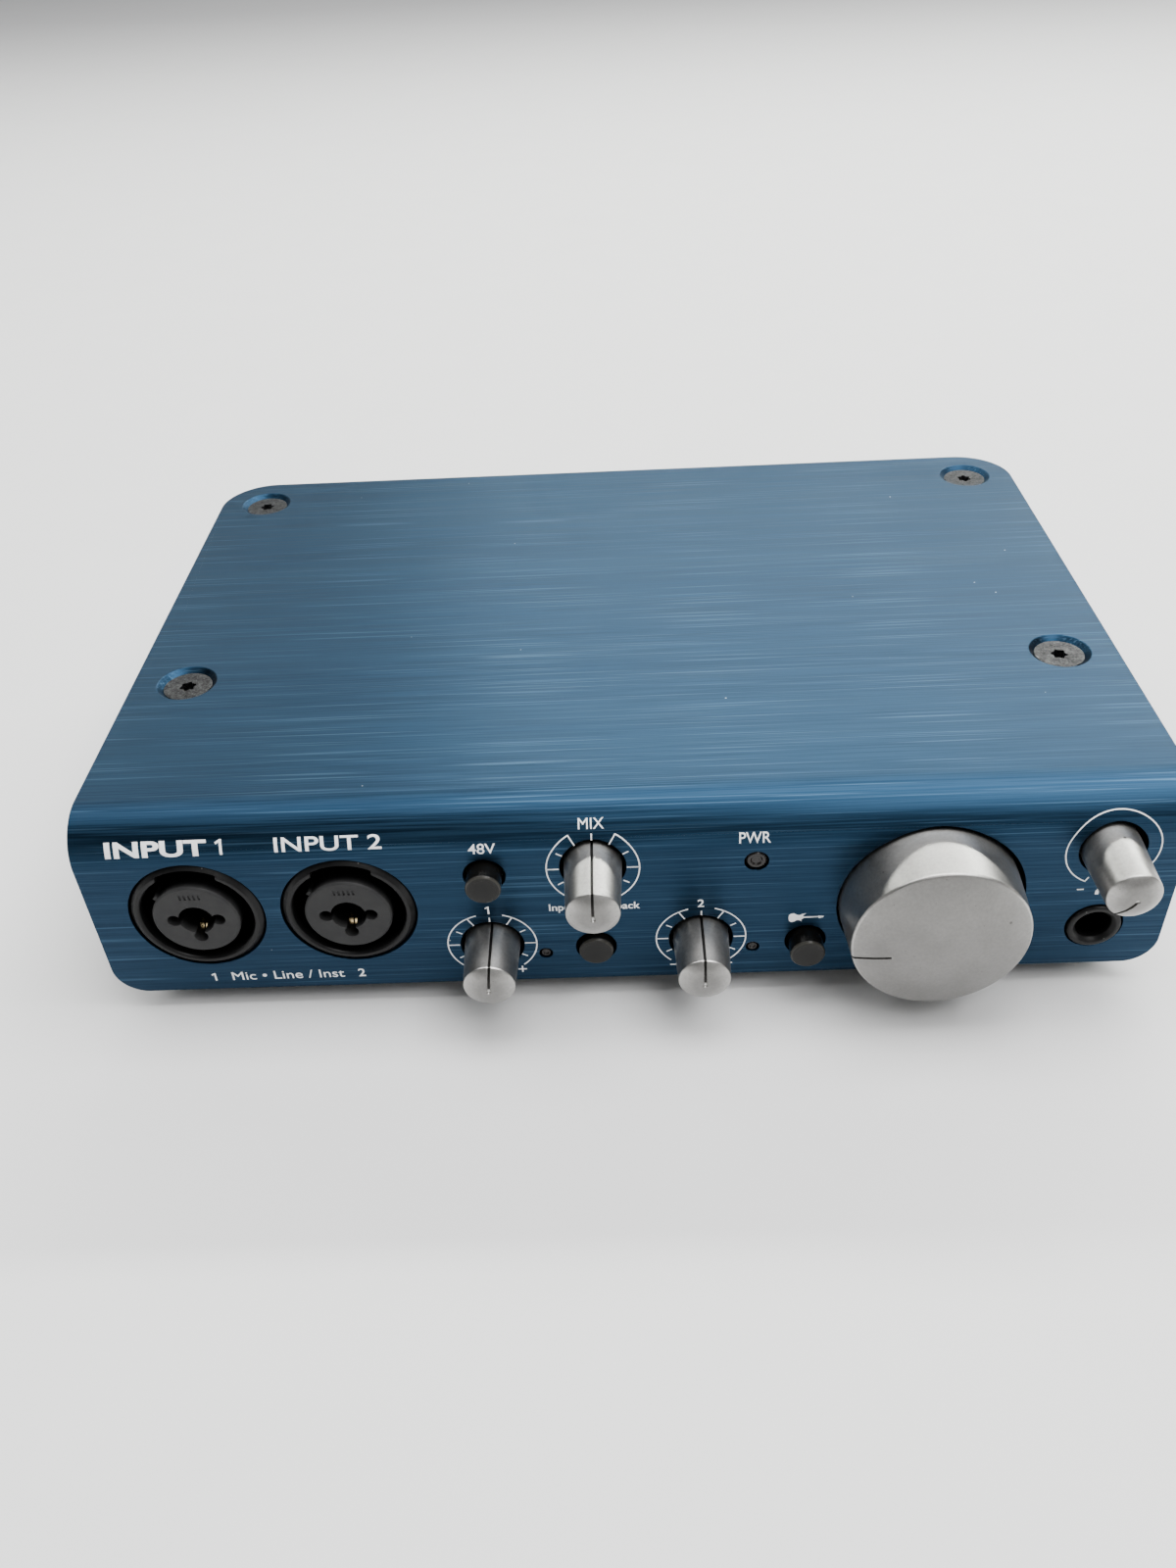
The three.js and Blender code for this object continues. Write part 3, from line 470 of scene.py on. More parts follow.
def black_plastic(name, slot, shade, roughness, dust_share=0.03, deep=None):
    """Moulded plastic with a fine grain, handling marks and dust; past a depth, as in its bores, painted
    shade makes it near black and less shiny.
    """
    s = Shader(name, (shade, shade, shade * 1.03), roughness=roughness)
    wear = s.noise(240, 4, 0.6)
    color = s.blend(s.between(wear, 0.4, 0.75), (shade, shade, shade * 1.03), (shade * 1.6,) * 3)
    dust = s.dots(900, 0.14, dust_share)
    color = s.blend(s.math("MULTIPLY", dust, 0.6), color, (0.2, 0.2, 0.19))
    if deep is not None:
        # painted shade: past the given depth behind the front the colour runs to near black and the
        # specular level drops, for the shade inside the bores
        painted_depth_shade = s.between(s.axes()["Y"], deep * MM, (deep + 1.6) * MM, 0, 0.92)
        color = s.blend(painted_depth_shade, color, (0.001, 0.001, 0.001))
        s.link(s.between(painted_depth_shade, 0, 1, 0.18, 0.04), "Specular IOR Level")
    s.link(color, "Base Color")
    s.rough(wear, 0.3, 0.7, roughness - 0.07, roughness + 0.1)
    s.bump(s.noise(2600, 3, 0.6), 0.3, 0.02)
    return s.material, slot


def smoked_plastic():
    """Dark smoky plastic, polished by fingers; its face has a painted glow towards its rim and a painted
    highlight round its edge.
    """
    s = Shader("smoked_plastic", (0.01, 0.01, 0.009), roughness=0.2, specular_ior_level=0.2)
    away = s.from_axis()
    face = s.between(s.axes()["Y"], -3.2 * MM, -3.7 * MM)
    # painted glow: the face is lighter towards its rim, standing in for light through the plastic
    painted_glow = s.math("MULTIPLY", face, s.between(away, 1.2 * MM, 3.1 * MM, 0.25, 1.0))
    cloud = s.blend(s.noise(420, 3, 0.5), (0.002, 0.002, 0.0018), (0.004, 0.0039, 0.0035))
    # painted highlight: a thin lighter ring at the face's outer edge
    rim = s.math("MULTIPLY", face, s.between(away, 2.8 * MM, 2.95 * MM))
    s.link(s.blend(rim, s.blend(painted_glow, cloud, (0.01, 0.0095, 0.008)), (0.035, 0.034, 0.03)), "Base Color")
    s.rough(s.noise(900, 3, 0.6), 0.3, 0.7, 0.14, 0.24)
    s.bump(s.noise(1500, 2, 0.5), 0.06, 0.005)
    return s.material, "smoked_plastic"


def lamp_lens():
    """A dark clear lens over an unlit lamp."""
    s = Shader("lamp_lens", (0.012, 0.01, 0.009), roughness=0.16, specular_ior_level=0.35)
    s.link(s.blend(s.noise(700, 3, 0.5), (0.008, 0.0065, 0.006), (0.018, 0.015, 0.0135)), "Base Color")
    s.rough(s.noise(1400, 2, 0.5), 0.3, 0.7, 0.1, 0.24)
    s.bump(s.noise(1100, 2, 0.5), 0.1, 0.01)
    return s.material, "lamp_lens"


def worn_steel():
    """Dark zinc plate worn through to bright metal in places, with dirt."""
    s = Shader("worn_steel", (0.3, 0.3, 0.31), metallic=1, roughness=0.42)
    wear = s.noise(620, 5, 0.7)
    fine = s.noise(2400, 3, 0.6)
    color = s.blend(s.between(wear, 0.4, 0.62), (0.01, 0.01, 0.0105), (0.04, 0.04, 0.042))
    s.link(s.blend(s.between(fine, 0.5, 0.72, 0, 0.5), color, (0.1, 0.1, 0.1)), "Base Color")
    s.rough(wear, 0.3, 0.7, 0.55, 0.32)
    s.bump(fine, 0.4, 0.03)
    return s.material, "worn_steel"


def plated_steel():
    """Bright plated steel with faint drawing lines."""
    s = Shader("plated_steel", (0.56, 0.56, 0.57), metallic=1, roughness=0.28)
    lines = s.noise(1, 3, 0.6, (1800, 160, 1800))
    s.link(s.blend(lines, (0.48, 0.48, 0.49), (0.64, 0.64, 0.65)), "Base Color")
    s.rough(s.noise(300, 3, 0.6), 0.3, 0.7, 0.2, 0.38)
    s.bump(lines, 0.2, 0.01)
    return s.material, "plated_steel"


def gold_contact():
    """Gold plating with a slight tarnish."""
    s = Shader("gold_contact", (0.86, 0.6, 0.24), metallic=1, roughness=0.24)
    tarnish = s.noise(900, 3, 0.6)
    s.link(s.blend(tarnish, (0.8, 0.56, 0.25), (1, 0.82, 0.5)), "Base Color")
    s.rough(tarnish, 0.3, 0.7, 0.32, 0.18)
    s.bump(s.noise(3000, 2, 0.5), 0.15, 0.01)
    return s.material, "gold_contact"


def black_steel():
    """Satin powder coat with its orange-peel surface."""
    s = Shader("black_steel", (0.008, 0.0085, 0.009), roughness=0.5, specular_ior_level=0.35)
    peel = s.noise(1100, 3, 0.5)
    haze = s.noise(45, 4, 0.6)
    color = s.blend(haze, (0.006, 0.0064, 0.0072), (0.013, 0.0135, 0.0145))
    s.link(s.blend(s.dots(300, 0.08, 0.05), color, (0.16, 0.16, 0.16)), "Base Color")
    s.rough(haze, 0.3, 0.7, 0.42, 0.58)
    s.bump(peel, 0.5, 0.05)
    return s.material, "black_steel"


def foot_rubber():
    """Dull rubber, greyed by dust in places."""
    s = Shader("foot_rubber", (0.018, 0.018, 0.018), roughness=0.85)
    s.link(s.blend(s.noise(500, 4, 0.6), (0.013, 0.013, 0.013), (0.045, 0.043, 0.04)), "Base Color")
    s.rough(s.noise(800, 3, 0.6), 0.3, 0.7, 0.75, 0.95)
    s.bump(s.noise(2000, 3, 0.6), 0.4, 0.04)
    return s.material, "foot_rubber"


def board_laminate():
    """Green solder mask over copper tracks."""
    s = Shader("board_laminate", (0.02, 0.1, 0.05), roughness=0.4)
    tracks = s.add("ShaderNodeTexBrick", {"Vector": s.place, "Scale": 240.0, "Mortar Size": 0.08})
    color = s.blend(tracks.outputs["Fac"], (0.018, 0.09, 0.045), (0.04, 0.17, 0.08))
    s.link(s.blend(s.dots(500, 0.2, 0.12), color, (0.6, 0.55, 0.4)), "Base Color")
    s.rough(s.noise(300, 3, 0.5), 0.3, 0.7, 0.32, 0.5)
    s.bump(tracks.outputs["Fac"], 0.2, 0.03)
    return s.material, "board_laminate"


def ribbon_jacket():
    """Parallel insulated wires."""
    s = Shader("ribbon_jacket", (0.45, 0.46, 0.47), roughness=0.5)
    wires = s.add("ShaderNodeTexWave", {"Vector": s.place, "Scale": 250.0}, bands_direction="X")
    s.link(s.blend(wires.outputs["Fac"], (0.3, 0.31, 0.32), (0.52, 0.53, 0.54)), "Base Color")
    s.rough(s.noise(300, 2, 0.5), 0.3, 0.7, 0.42, 0.6)
    s.bump(wires.outputs["Fac"], 0.6, 0.2)
    return s.material, "ribbon_jacket"


def white_print():
    """Screen-printed ink, a little thin in places."""
    s = Shader("white_print", (0.85, 0.86, 0.87), roughness=0.5)
    thin = s.noise(1, 4, 0.7, (300, 1600, 1600))
    share = s.between(thin, 0.48, 0.75, 0, 0.45)
    s.link(s.blend(share, (0.95, 0.96, 0.97), (0.66, 0.7, 0.74)), "Base Color")
    s.rough(thin, 0.3, 0.7, 0.42, 0.6)
    s.bump(thin, 0.2, 0.01)
    return s.material, None


LOOKS = {
    "cover": blue_anodised(),
    "silver": satin_silver("satin_silver", 0.5),
    "main": satin_silver("satin_silver_wide", 9.2),
    "shell": black_plastic("black_plastic", "black_plastic", 0.02, 0.38),
    "socket": black_plastic("socket_plastic", "black_plastic", 0.0055, 0.34, 0.1, 0.2),
    "core": black_plastic("core_plastic", "core_plastic", 0.02, 0.46, 0.06, -0.7),
    "smoked": smoked_plastic(),
    "lens": lamp_lens(),
    "worn": worn_steel(),
    "steel": plated_steel(),
    "gold": gold_contact(),
    "coat": black_steel(),
    "rubber": foot_rubber(),
    "board": board_laminate(),
    "ribbon": ribbon_jacket(),
    "print": white_print(),
}


# ---------- cover ----------

def cover():
    """One plate bent into a front face and a top, drilled and countersunk."""
    top = COVER_TOP - FACE_Z
    axis = (BEND, top - BEND)
    bent = [(0, 0), *arc(*axis, BEND, 180, 90, 32), (COVER_DEPTH, top), (COVER_DEPTH, top - PLATE),
            *arc(*axis, BEND - PLATE, 90, 180, 32), (PLATE, 0)]
    plan = rectangle(-COVER_HALF, -1, COVER_HALF, COVER_DEPTH, 0, 12, 24)
    front = rectangle(-COVER_HALF, 0, COVER_HALF, top + 1, 6, 0, 20)
    plate = common(extruded(bent, "X", -COVER_HALF - 1, COVER_HALF + 1), extruded(plan, "Z", -1, top + 1),
                   extruded(front, "Y", -1, COVER_DEPTH + 1))
    holes = [(SMALL_HOLE, KNOBS[k]) for k in ("mix", "gain_1", "gain_2", "phones")]
    holes += [(MAIN_HOLE, "main_pot"), (POWER_HOLE, "power_lamp"), (PHONES_HOLE, "phones_socket")]
    holes += [(BUTTON_HOLE, n) for n in ("phantom_switch", "input_switch_1", "input_switch_2")]
    holes += [(SIGNAL_HOLE, f"signal_lamp_{i}") for i in (1, 2)]
    holes += [(COMBO_HOLE, f"combo_insert_{i}") for i in (1, 2)]
    tools = []
    for radius, node in holes:
        centre = middle(node)
        sides = 128 if radius > 10 else 72 if radius > 3 else 40
        x = centre.x + HOLE_SHIFT.get(node, 0)
        tools.append(bar(radius, -1, PLATE + BEND, x, centre.z - FACE_Z, sides))
    for i in range(1, 5):
        centre = middle(f"cover_screw_{i}")
        hole = COVER_SCREW_HOLE
        sink = on_end(turned([(0, -1), (6.93, -1), (hole, 3.18), (hole, 6), (0, 6)], 72), -90)
        sink.data.transform(Matrix.Translation((centre.x, centre.y - FACE_Y, top)))
        tools.append(sink)
    obj = softened(cut(plate, *tools), 0.18, 2)
    piece("cover", obj, LOOKS["cover"], at=(0, FACE_Y, FACE_Z))


def cover_screws():
    """Countersunk machine screws with a six-lobed socket."""
    shank, steps, lobes = 2.4, 72, []
    for i in range(steps):
        a = 2 * math.pi * i / steps
        radius = 1.42 + 0.22 * math.cos(6 * a)
        lobes.append((radius * math.cos(a), radius * math.sin(a)))
    for i in range(1, 5):
        node = f"cover_screw_{i}"
        low, high, centre = extent(node)
        length = high.z - low.z
        profile = [(0, 0), (4.85, 0), (4.85, 0.3), (shank, 2.75), (shank, length), (0, length)]
        profile = rounded(profile, [0, 0.15, 0.1, 0, 0.3, 0], 4)
        head = on_end(turned(profile, 96), -90)
        screw = softened(cut(head, extruded(lobes, "Z", -1.8, 1)), 0.08, 2)
        obj = piece(node, screw, LOOKS["worn"], at=(centre.x, centre.y, high.z))
        obj.rotation_euler.z = math.radians(23 * i)


# ---------- printing ----------

def on_cover(x, s, lift):
    """A point just off the cover's outer surface, s along its outline from the face's bottom edge."""
    if s <= BEND_START:
        return (x, -lift, s)
    angle = (s - BEND_START) / BEND
    reach = BEND + lift
    return (x, BEND - reach * math.cos(angle), BEND_START + reach * math.sin(angle))


def ring(centre, radius, start, end, line=RING_LINE, steps=48):
    """A strip along an arc; angles run clockwise from straight up."""
    x, z = centre
    outer = arc(x, z, radius + line / 2, 90 - start, 90 - end, steps)
    inner = arc(x, z, radius - line / 2, 90 - start, 90 - end, steps)
    return [[inner[i], outer[i], outer[i + 1], inner[i + 1]] for i in range(steps)]


def tick(centre, angle, start, end, line=RING_LINE):
    """A straight mark that points away from the centre, at an angle clockwise from straight up."""
    x, z = centre
    along = Vector((math.sin(math.radians(angle)), math.cos(math.radians(angle))))
    side = Vector((along.y, -along.x)) * line / 2
    corners = ((start, -1), (start, 1), (end, 1), (end, -1))
    return [[tuple(Vector((x, z)) + along * r + side * k) for r, k in corners]]


def dial(centre, gap, end, flatten=1.0):
    """The scale round a knob: an open ring, somewhat flattened, with full and short marks."""
    faces = ring(centre, DIAL_RADIUS, gap, end) + ring(centre, DIAL_RADIUS, -gap, -end)
    for angle in (30, 90, 150):
        for side in (-1, 1):
            faces += tick(centre, side * angle, SMALL_HOLE + 0.15, DIAL_RADIUS + 0.05)
    for angle in (0, 60, -60, 120, -120):
        faces += tick(centre, angle, 6.15, 7.35)
    middle_z = centre[1]
    return [[(x, middle_z + (z - middle_z) * flatten) for x, z in face] for face in faces]


def one(x, base, height):
    """A figure one with its flag."""
    outline = [(0.26, 0), (0.43, 0), (0.43, 1), (0.3, 1), (0, 0.8), (0.07, 0.68), (0.26, 0.8)]
    return [[(x + u * height, base + v * height) for u, v in outline]]


def letter_mesh(text, weight):
    """The outlines of a text as flat faces, made heavier by the weight."""
    curve = bpy.data.curves.new("letters", "FONT")
    curve.body = text
    curve.offset = weight
    obj = bpy.data.objects.new("letters", curve)
    bpy.context.scene.collection.objects.link(obj)
    depsgraph = bpy.context.evaluated_depsgraph_get()
    mesh = bpy.data.meshes.new_from_object(obj.evaluated_get(depsgraph))
    bpy.data.curves.remove(curve)
    return mesh


def letters(text, x0, x1, base, height, weight=0.012):
    """Lettering from x0 to x1; an end that is None follows from the letters' own width."""
    capital = letter_mesh("H", weight)
    tall = max(v.co.y for v in capital.vertices)
    bpy.data.meshes.remove(capital)
    mesh = letter_mesh(text, weight)
    left = min(v.co.x for v in mesh.vertices)
    right = max(v.co.x for v in mesh.vertices)
    width = (right - left) * height / tall
    x0 = x1 - width if x0 is None else x0
    x1 = x0 + width if x1 is None else x1
    scale = (x1 - x0) / (right - left)
    points = [(x0 + (v.co.x - left) * scale, base + v.co.y * height / tall) for v in mesh.vertices]
    faces = [[points[i] for i in face.vertices] for face in mesh.polygons]
    bpy.data.meshes.remove(mesh)
    return faces


def sign(x, z, plus):
    """A plus or minus sign."""
    long, short, thin = 0.8, 0.6, 0.13
    if not plus:
        return [rectangle(x - short, z - thin, x + short, z + thin)]
    quarter = [(thin, thin), (thin, long), (-thin, long), (-thin, thin)]
    turns = [(1, 0, 0, 1), (0, -1, 1, 0), (-1, 0, 0, -1), (0, 1, -1, 0)]
    return [[(x + a * u + b * v, z + c * u + d * v) for a, b, c, d in turns for u, v in quarter[1:]]]


def guitar(x, z):
    """A guitar sign: a waisted body with two horns, a neck and a head."""
    outline = [(0.1, 0.75), (0, 0.1), (0.1, -0.7), (0.5, -1.08), (1.1, -0.95), (1.5, -0.62),
               (1.95, -0.62), (2.45, -0.98), (2.35, -0.5), (2.8, -0.12), (5.4, -0.02), (5.55, -0.3),
               (6.3, -0.08), (6.4, 0.2), (5.4, 0.36), (5.35, 0.2), (2.7, 0.24), (2.65, 0.6),
               (3.15, 1.0), (2.5, 0.92), (1.95, 0.6), (1.5, 0.72), (0.95, 1.1), (0.4, 1.02)]
    return [[(x + u, z + v) for u, v in outline]]


def headphones(x, z):
    """A plain headphone sign: a band and two cups."""
    radius, half = 1.1, 0.32
    faces = ring((x, z), radius, -90, 90, 0.3, 16)
    for side in (-1, 1):
        cup = x + side * radius
        faces.append(rectangle(cup - half, z - 0.95, cup + half, z + 0.1, 0.15, 0.15, 3))
    return faces


def printing():
    """All the white printing, as a thin film that follows the bend."""
    centres = {name: middle(node) for name, node in KNOBS.items()}
    spot = {name: (p.x, p.z - FACE_Z) for name, p in centres.items()}
    phones = (spot["phones"][0] + HOLE_SHIFT["phones_pot"], spot["phones"][1])
    mix, gain_1, gain_2 = spot["mix"], spot["gain_1"], spot["gain_2"]
    faces = dial((mix[0], mix[1] - 0.25), 30, 150)
    for x, z in (gain_1, gain_2):
        faces += dial((x, z + 0.3), 17, 138, 0.925)
    faces += ring(phones, 8.18, -154, 150) + tick(phones, -154, 7.1, 8.3)
    faces += letters("MIX", -8.2, -3.7, 36.12, 1.95, 0) + letters("48V", -27.6, -22.8, 32.14, 1.95, 0.006)
    faces += letters("PWR", 19.7, 25.2, 32.5, 2.1, 0.006)
    faces += one(-26, 17.6, 1.85) + letters("2", 12.6, None, 17.7, 1.8)
    faces += letters("Input", -14.3, None, 17.9, 1.6) + letters("Playback", None, 2.2, 17.9, 1.6)
    faces += one(-79.4, 2.4, 2) + letters("2", -51.4, None, 2.4, 2)
    faces += letters("Mic • Line / Inst", -75.5, -54.1, 2.4, 2.1, 0)
    faces += letters("INPUT", -91.5, -73.4, 33.7, 2.85, 0.03) + one(-71.9, 33.7, 2.85)
    faces += letters("INPUT 2", -61.5, -42.6, 33.85, 2.6, 0.01)
    for name in ("gain_1", "gain_2"):
        x, z = spot[name]
        faces += sign(x + 5.1, z - 6.6, True) + sign(x - 5.1, z - 6.6, False)
    faces += sign(81, 19, False) + guitar(29.2, 14.2) + headphones(85.2, 18.6)
    bm = bmesh.new()
    for face in faces:
        bm.faces.new([bm.verts.new((x, z, 0)) for x, z in face])
    bmesh.ops.remove_doubles(bm, verts=bm.verts, dist=0.001)
    slices, spacing = 28, 0.35
    for i in range(slices):
        level = BEND_START + spacing * i
        geometry = bm.verts[:] + bm.edges[:] + bm.faces[:]
        bmesh.ops.bisect_plane(bm, geom=geometry, plane_co=(0, level, 0), plane_no=(0, 1, 0))
    for vertex in bm.verts:
        vertex.co = on_cover(vertex.co.x, vertex.co.y, FILM_LIFT)
    bm.normal_update()
    for face in bm.faces:
        if face.normal.z < face.normal.y:
            face.normal_flip()
    obj = new_object(bm, closed=False)
    modifier = obj.modifiers.new("film", "SOLIDIFY")
    modifier.thickness = FILM_THICKNESS
    apply_modifiers(obj)
    piece("printing", obj, LOOKS["print"], nodes=(), at=(0, FACE_Y, FACE_Z))


# ---------- knobs ----------

def knob_profile(rim, base, dome, tail, reach, edge):
    """From the middle of the domed face, over a soft edge and down the side."""
    sphere = (rim * rim + dome * dome) / (2 * dome)
    limit = math.asin(rim / sphere)
    steps, points = 14, []
    for i in range(steps + 1):
        angle = limit * i / steps
        points.append((sphere * math.sin(angle), -reach - dome + sphere * (1 - math.cos(angle))))
    radii = [0] * steps + [edge]
    return rounded(points + [(base, 0), (base, tail), (0, tail)], radii + [0, 0.2, 0], 8)


def groove(rim, base, dome, tail, reach, start, end, width=0.48, depth=0.35):
    """The pointer's slab, less the knob's own shape made smaller by the groove's depth."""
    slab = extruded(rectangle(-width / 2, start, width / 2, base + 1, width * 0.49, 0, 6),
                    "Y", -reach - dome - 1, end)
    inner = turned(knob_profile(rim - depth, base - depth, dome, tail + 2, reach - depth, 0.3), 96)
    return cut(slab, inner)


def shaft_bore(reach, floor, tail):
    """The knob's bore, with the flat that fits the shaft's."""
    hole = bar(SHAFT_BORE, -reach + floor, tail + 1, sides=48)
    return cut(hole, block((-4, -reach + floor - 1, 1.8), (4, tail + 2, 4)))


def small_knob(name, node, body):
    """A slim tapered knob with its pointer along the side and to the middle of the face."""
    centre = middle(KNOBS[name])
    low, _high = span(node)
    dome, tail = 1.6, 1.8
    reach = FACE_Y - low.y - dome
    shape = (4.7, 5.15, dome, tail, reach)
    solid = turned(knob_profile(*shape, 0.45), 128)
    eye = turned(arc(0, -reach - dome, 0.42, -90, 90, 10), 24)
    solid = cut(solid, groove(*shape, 0, 3), eye, shaft_bore(reach, 3, tail))
    at = (centre.x, FACE_Y, centre.z)
    piece(node, softened(solid, 0.07, 2, 38), LOOKS["silver"], body, at=at, turn=TURNS[name])


def main_knob():
    """A wide hollow knob on a hub, with a short pointer in from its rim."""
    centre = middle("main_pot")
    low, _high = span("main_knob")
    dome, tail, crown = 2.8, 2, 2.2
    reach = FACE_Y - low.y - dome
    shape = (15.66, 16.2, dome, tail, reach)
    ceiling = -reach + crown
    hollow = turned([(5.5, ceiling), (14.5, ceiling), (14.8, tail + 1), (5.5, tail + 1)], 128)
    solid = turned(knob_profile(*shape, 0.7), 192)
    solid = cut(solid, hollow, groove(*shape, 9, -reach + 0.5), shaft_bore(reach, crown, tail))
    solid = softened(solid, 0.07, 2, 38)
    at = (centre.x, FACE_Y, centre.z)
    piece("main_knob", solid, LOOKS["main"], "main_dial", at=at, turn=TURNS["main"])


# ---------- buttons and lamps ----------

def push_buttons():
    """Round smoky caps on a stem, each slightly crowned."""
    for node, body in (("phantom_button", "phantom_key"), ("input_button_1", "input_key_1"),
                       ("input_button_2", "input_key_2")):
        low, high, centre = extent(node)
        reach, cap, stem, length = 3.9, 3.2, 1.4, 11.6
        profile = rounded([(0, -reach), (2.9, -reach + 0.06), (cap, -reach + 0.4), (cap, 4.5), (stem, 4.5),
                           (stem, length), (0, length)], [0, 0.25, 0.2, 0.15, 0, 0.2, 0], 6)
        piece(node, turned(profile, 72), LOOKS["smoked"], body, at=(centre.x, low.y + reach, centre.z))


def lamps():
    """Round lenses with a raised middle inside a shallow groove."""
    holes = {"power_lamp": POWER_HOLE, "signal_lamp_1": SIGNAL_HOLE, "signal_lamp_2": SIGNAL_HOLE}
    for node, hole in holes.items():
        low, high, centre = extent(node)
        radius = hole - GAP
        profile = rounded([(0, 0.5), (0.45 * radius, 0.5), (0.6 * radius, 0.2), (0.85 * radius, 0.2),
                           (radius, 0.5), (radius, high.y - FACE_Y), (0, high.y - FACE_Y)],
                          [0, 0.1, 0.1, 0.1, 0.1, 0.1, 0], 4)
        piece(node, turned(profile, 48), LOOKS["lens"], at=(centre.x, FACE_Y, centre.z))


# ---------- front sockets ----------

def combo_sockets():
    """Ring, groove, notch and core of the combination sockets."""
    for i in (1, 2):
        low, high = span(f"combo_socket_{i}")
        centre = middle(f"combo_insert_{i}")
        at = (centre.x, FACE_Y, centre.z)
        rear = high.y - FACE_Y
        body = block((low.x - centre.x, SOCKET_SEAT, low.z - centre.z),
                     (high.x - centre.x, rear, high.z - centre.z))
        ring_profile = rounded([(0, -0.45), (11.2, -0.45), (12.05, 0.4), (12.05, 6.3), (0, 6.3)],
                               [0, 0.25, 0.25, 0, 0], 4)
        shell = unite(body, turned(ring_profile, 128))
        pocket = turned(rounded([(0, -1.35), (11.3, -1.35), (10.25, -0.05), (10.25, 16), (0, 16)],
                                [0, 0, 0.2, 0, 0], 4), 128)
        notch = common(bar(11.35, -3, 5, sides=96), block((-5.4, -4, 0.7), (5.4, 6, 12)))
        shell = softened(cut(shell, pocket, notch, bar(JACK_BORE, 0, rear - 2)), 0.1, 2)
        piece(f"combo_socket_{i}", shell, LOOKS["socket"], at=at)
        combo_core(i, at)
        combo_contact(i, at)


def combo_core(i, at):
    """The core: a jack bore, three pin openings, a key at its side and grip slots at the top."""
    radius, length, pin_hole, pin_circle = 7.9, 15.7, 1.25, 4.05
    profile = [(0, -1), (7.55, -1), (radius, -0.65), (radius, length), (0, length)]
    core = turned(rounded(profile, [0, 0.15, 0.15, 0, 0], 4), 128)
    tools = [bar(JACK_BORE, -2, 17, sides=72)]
    for x, z in ((-pin_circle, 0), (pin_circle, 0), (0, -pin_circle)):
        tools.append(bar(pin_hole, -2, 12, x, z, 36))
    pitch, half = 0.85, 0.2
    slots = [block((k * pitch - half, -1.6, 5), (k * pitch + half, -0.8, 6.1)) for k in range(-2, 3)]
    key = block((-0.45, -0.3, 7.5), (0.45, 13, 8.5))
    key.data.transform(Matrix.Rotation(math.radians(-52), 4, "Y"))
    core = cut(softened(cut(unite(core, key), *tools), 0.06, 2), *slots)
    piece(f"combo_insert_{i}", core, LOOKS["core"], at=at)


def combo_contact(i, at):
    """A bent gold leaf with two fingers."""
    sheet, half, slit = 0.3, 0.95, 0.12
    line = [(1.7, -4.6), (2.1, -3.6), (3.5, -3.55), (4.6, -4.5), (11.5, -4.5)]
    smooth = rounded(line, [0, 0.3, 0.4, 1, 0], 5)
    outline = smooth + [(y, z - sheet) for y, z in reversed(smooth)]
    leaf = extruded(outline, "X", -half, half)
    leaf = softened(cut(leaf, block((-slit, -1, -6), (slit, 5.5, -2))), 0.04, 1)
    piece(f"combo_contact_{i}", leaf, LOOKS["gold"], at=at)


def phones_socket():
    """A jack socket whose round nose stands in the face."""
    low, high, centre = extent("phones_socket")
    rear = high.y - FACE_Y
    half = (high.x - low.x) / 2
    nose = turned(rounded([(0, -0.5), (4.9, -0.5), (4.9, 6.3), (0, 6.3)], [0, 0.5, 0, 0], 6), 96)
    shell = unite(block((-half, SOCKET_SEAT, -half), (half, rear, half)), nose)
    end = rear - 1
    mouth = turned(rounded([(0, -1.35), (4.64, -1.35), (JACK_BORE, 0.3), (JACK_BORE, end), (0, end)],
                           [0, 0, 0.3, 0, 0], 4), 96)
    shell = softened(cut(shell, mouth), 0.08, 2)
    piece("phones_socket", shell, LOOKS["socket"], at=(centre.x, FACE_Y, centre.z))


# ---------- chassis ----------

def chassis_tray():
    """A folded steel tray with flanges for the cover and the rear panel."""
    half, sheet, fold, flange, boss = TRAY_HIGH.x, 1.2, 3, 16, 4
    low, high = TRAY_LOW.z, TRAY_HIGH.z
    front, rear = TRAY_LOW.y - FACE_Y, TRAY_HIGH.y - FACE_Y
    outer = extruded(rectangle(-half, low, half, high, fold, 0), "Y", front, rear)
    inside = extruded(rectangle(-half + sheet, low + sheet, half - sheet, high - sheet, fold - sheet, 0),
                      "Y", front - 1, rear + 1)
    mouth = block((-half + flange, front - 1, high - 2 * sheet), (half - flange, rear + 1, high + 1))
    under = [(front, low - 1), *arc(BEND, COVER_TOP - BEND, BEND - front, 180, 90, 16),
             (rear, high), (rear, low - 1)]
    shell = common(cut(outer, inside, mouth), extruded(under, "X", -half - 1, half + 1))
    parts = [block((-half + fold, front, low + 0.1), (half - fold, front + sheet, low + sheet + 2))]
    tools = []
    screw = middle("rear_screw_right")
    for side in (-1, 1):
        xs = sorted((side * (half - 0.1), side * (half - 12)))
        parts.append(block((xs[0], rear - sheet, low + fold), (xs[1], rear, high - 0.1)))
        tools.append(bar(PANEL_SCREW_HOLE, rear - 3, rear + 1, side * screw.x, screw.z, 32))
    for i in range(1, 5):
        centre = middle(f"cover_screw_{i}")
        place = (centre.x, centre.y - FACE_Y)
        parts.append(upright_bar(4.6, high - sheet - boss, high - 0.1, *place))
        tools.append(upright_bar(COVER_SCREW_HOLE, high - sheet - boss - 1, high + 1, *place))
    shell = softened(cut(unite(shell, *parts), *tools), 0.12, 2)
    piece("chassis_tray", shell, LOOKS["coat"], at=(0, FACE_Y, 0))


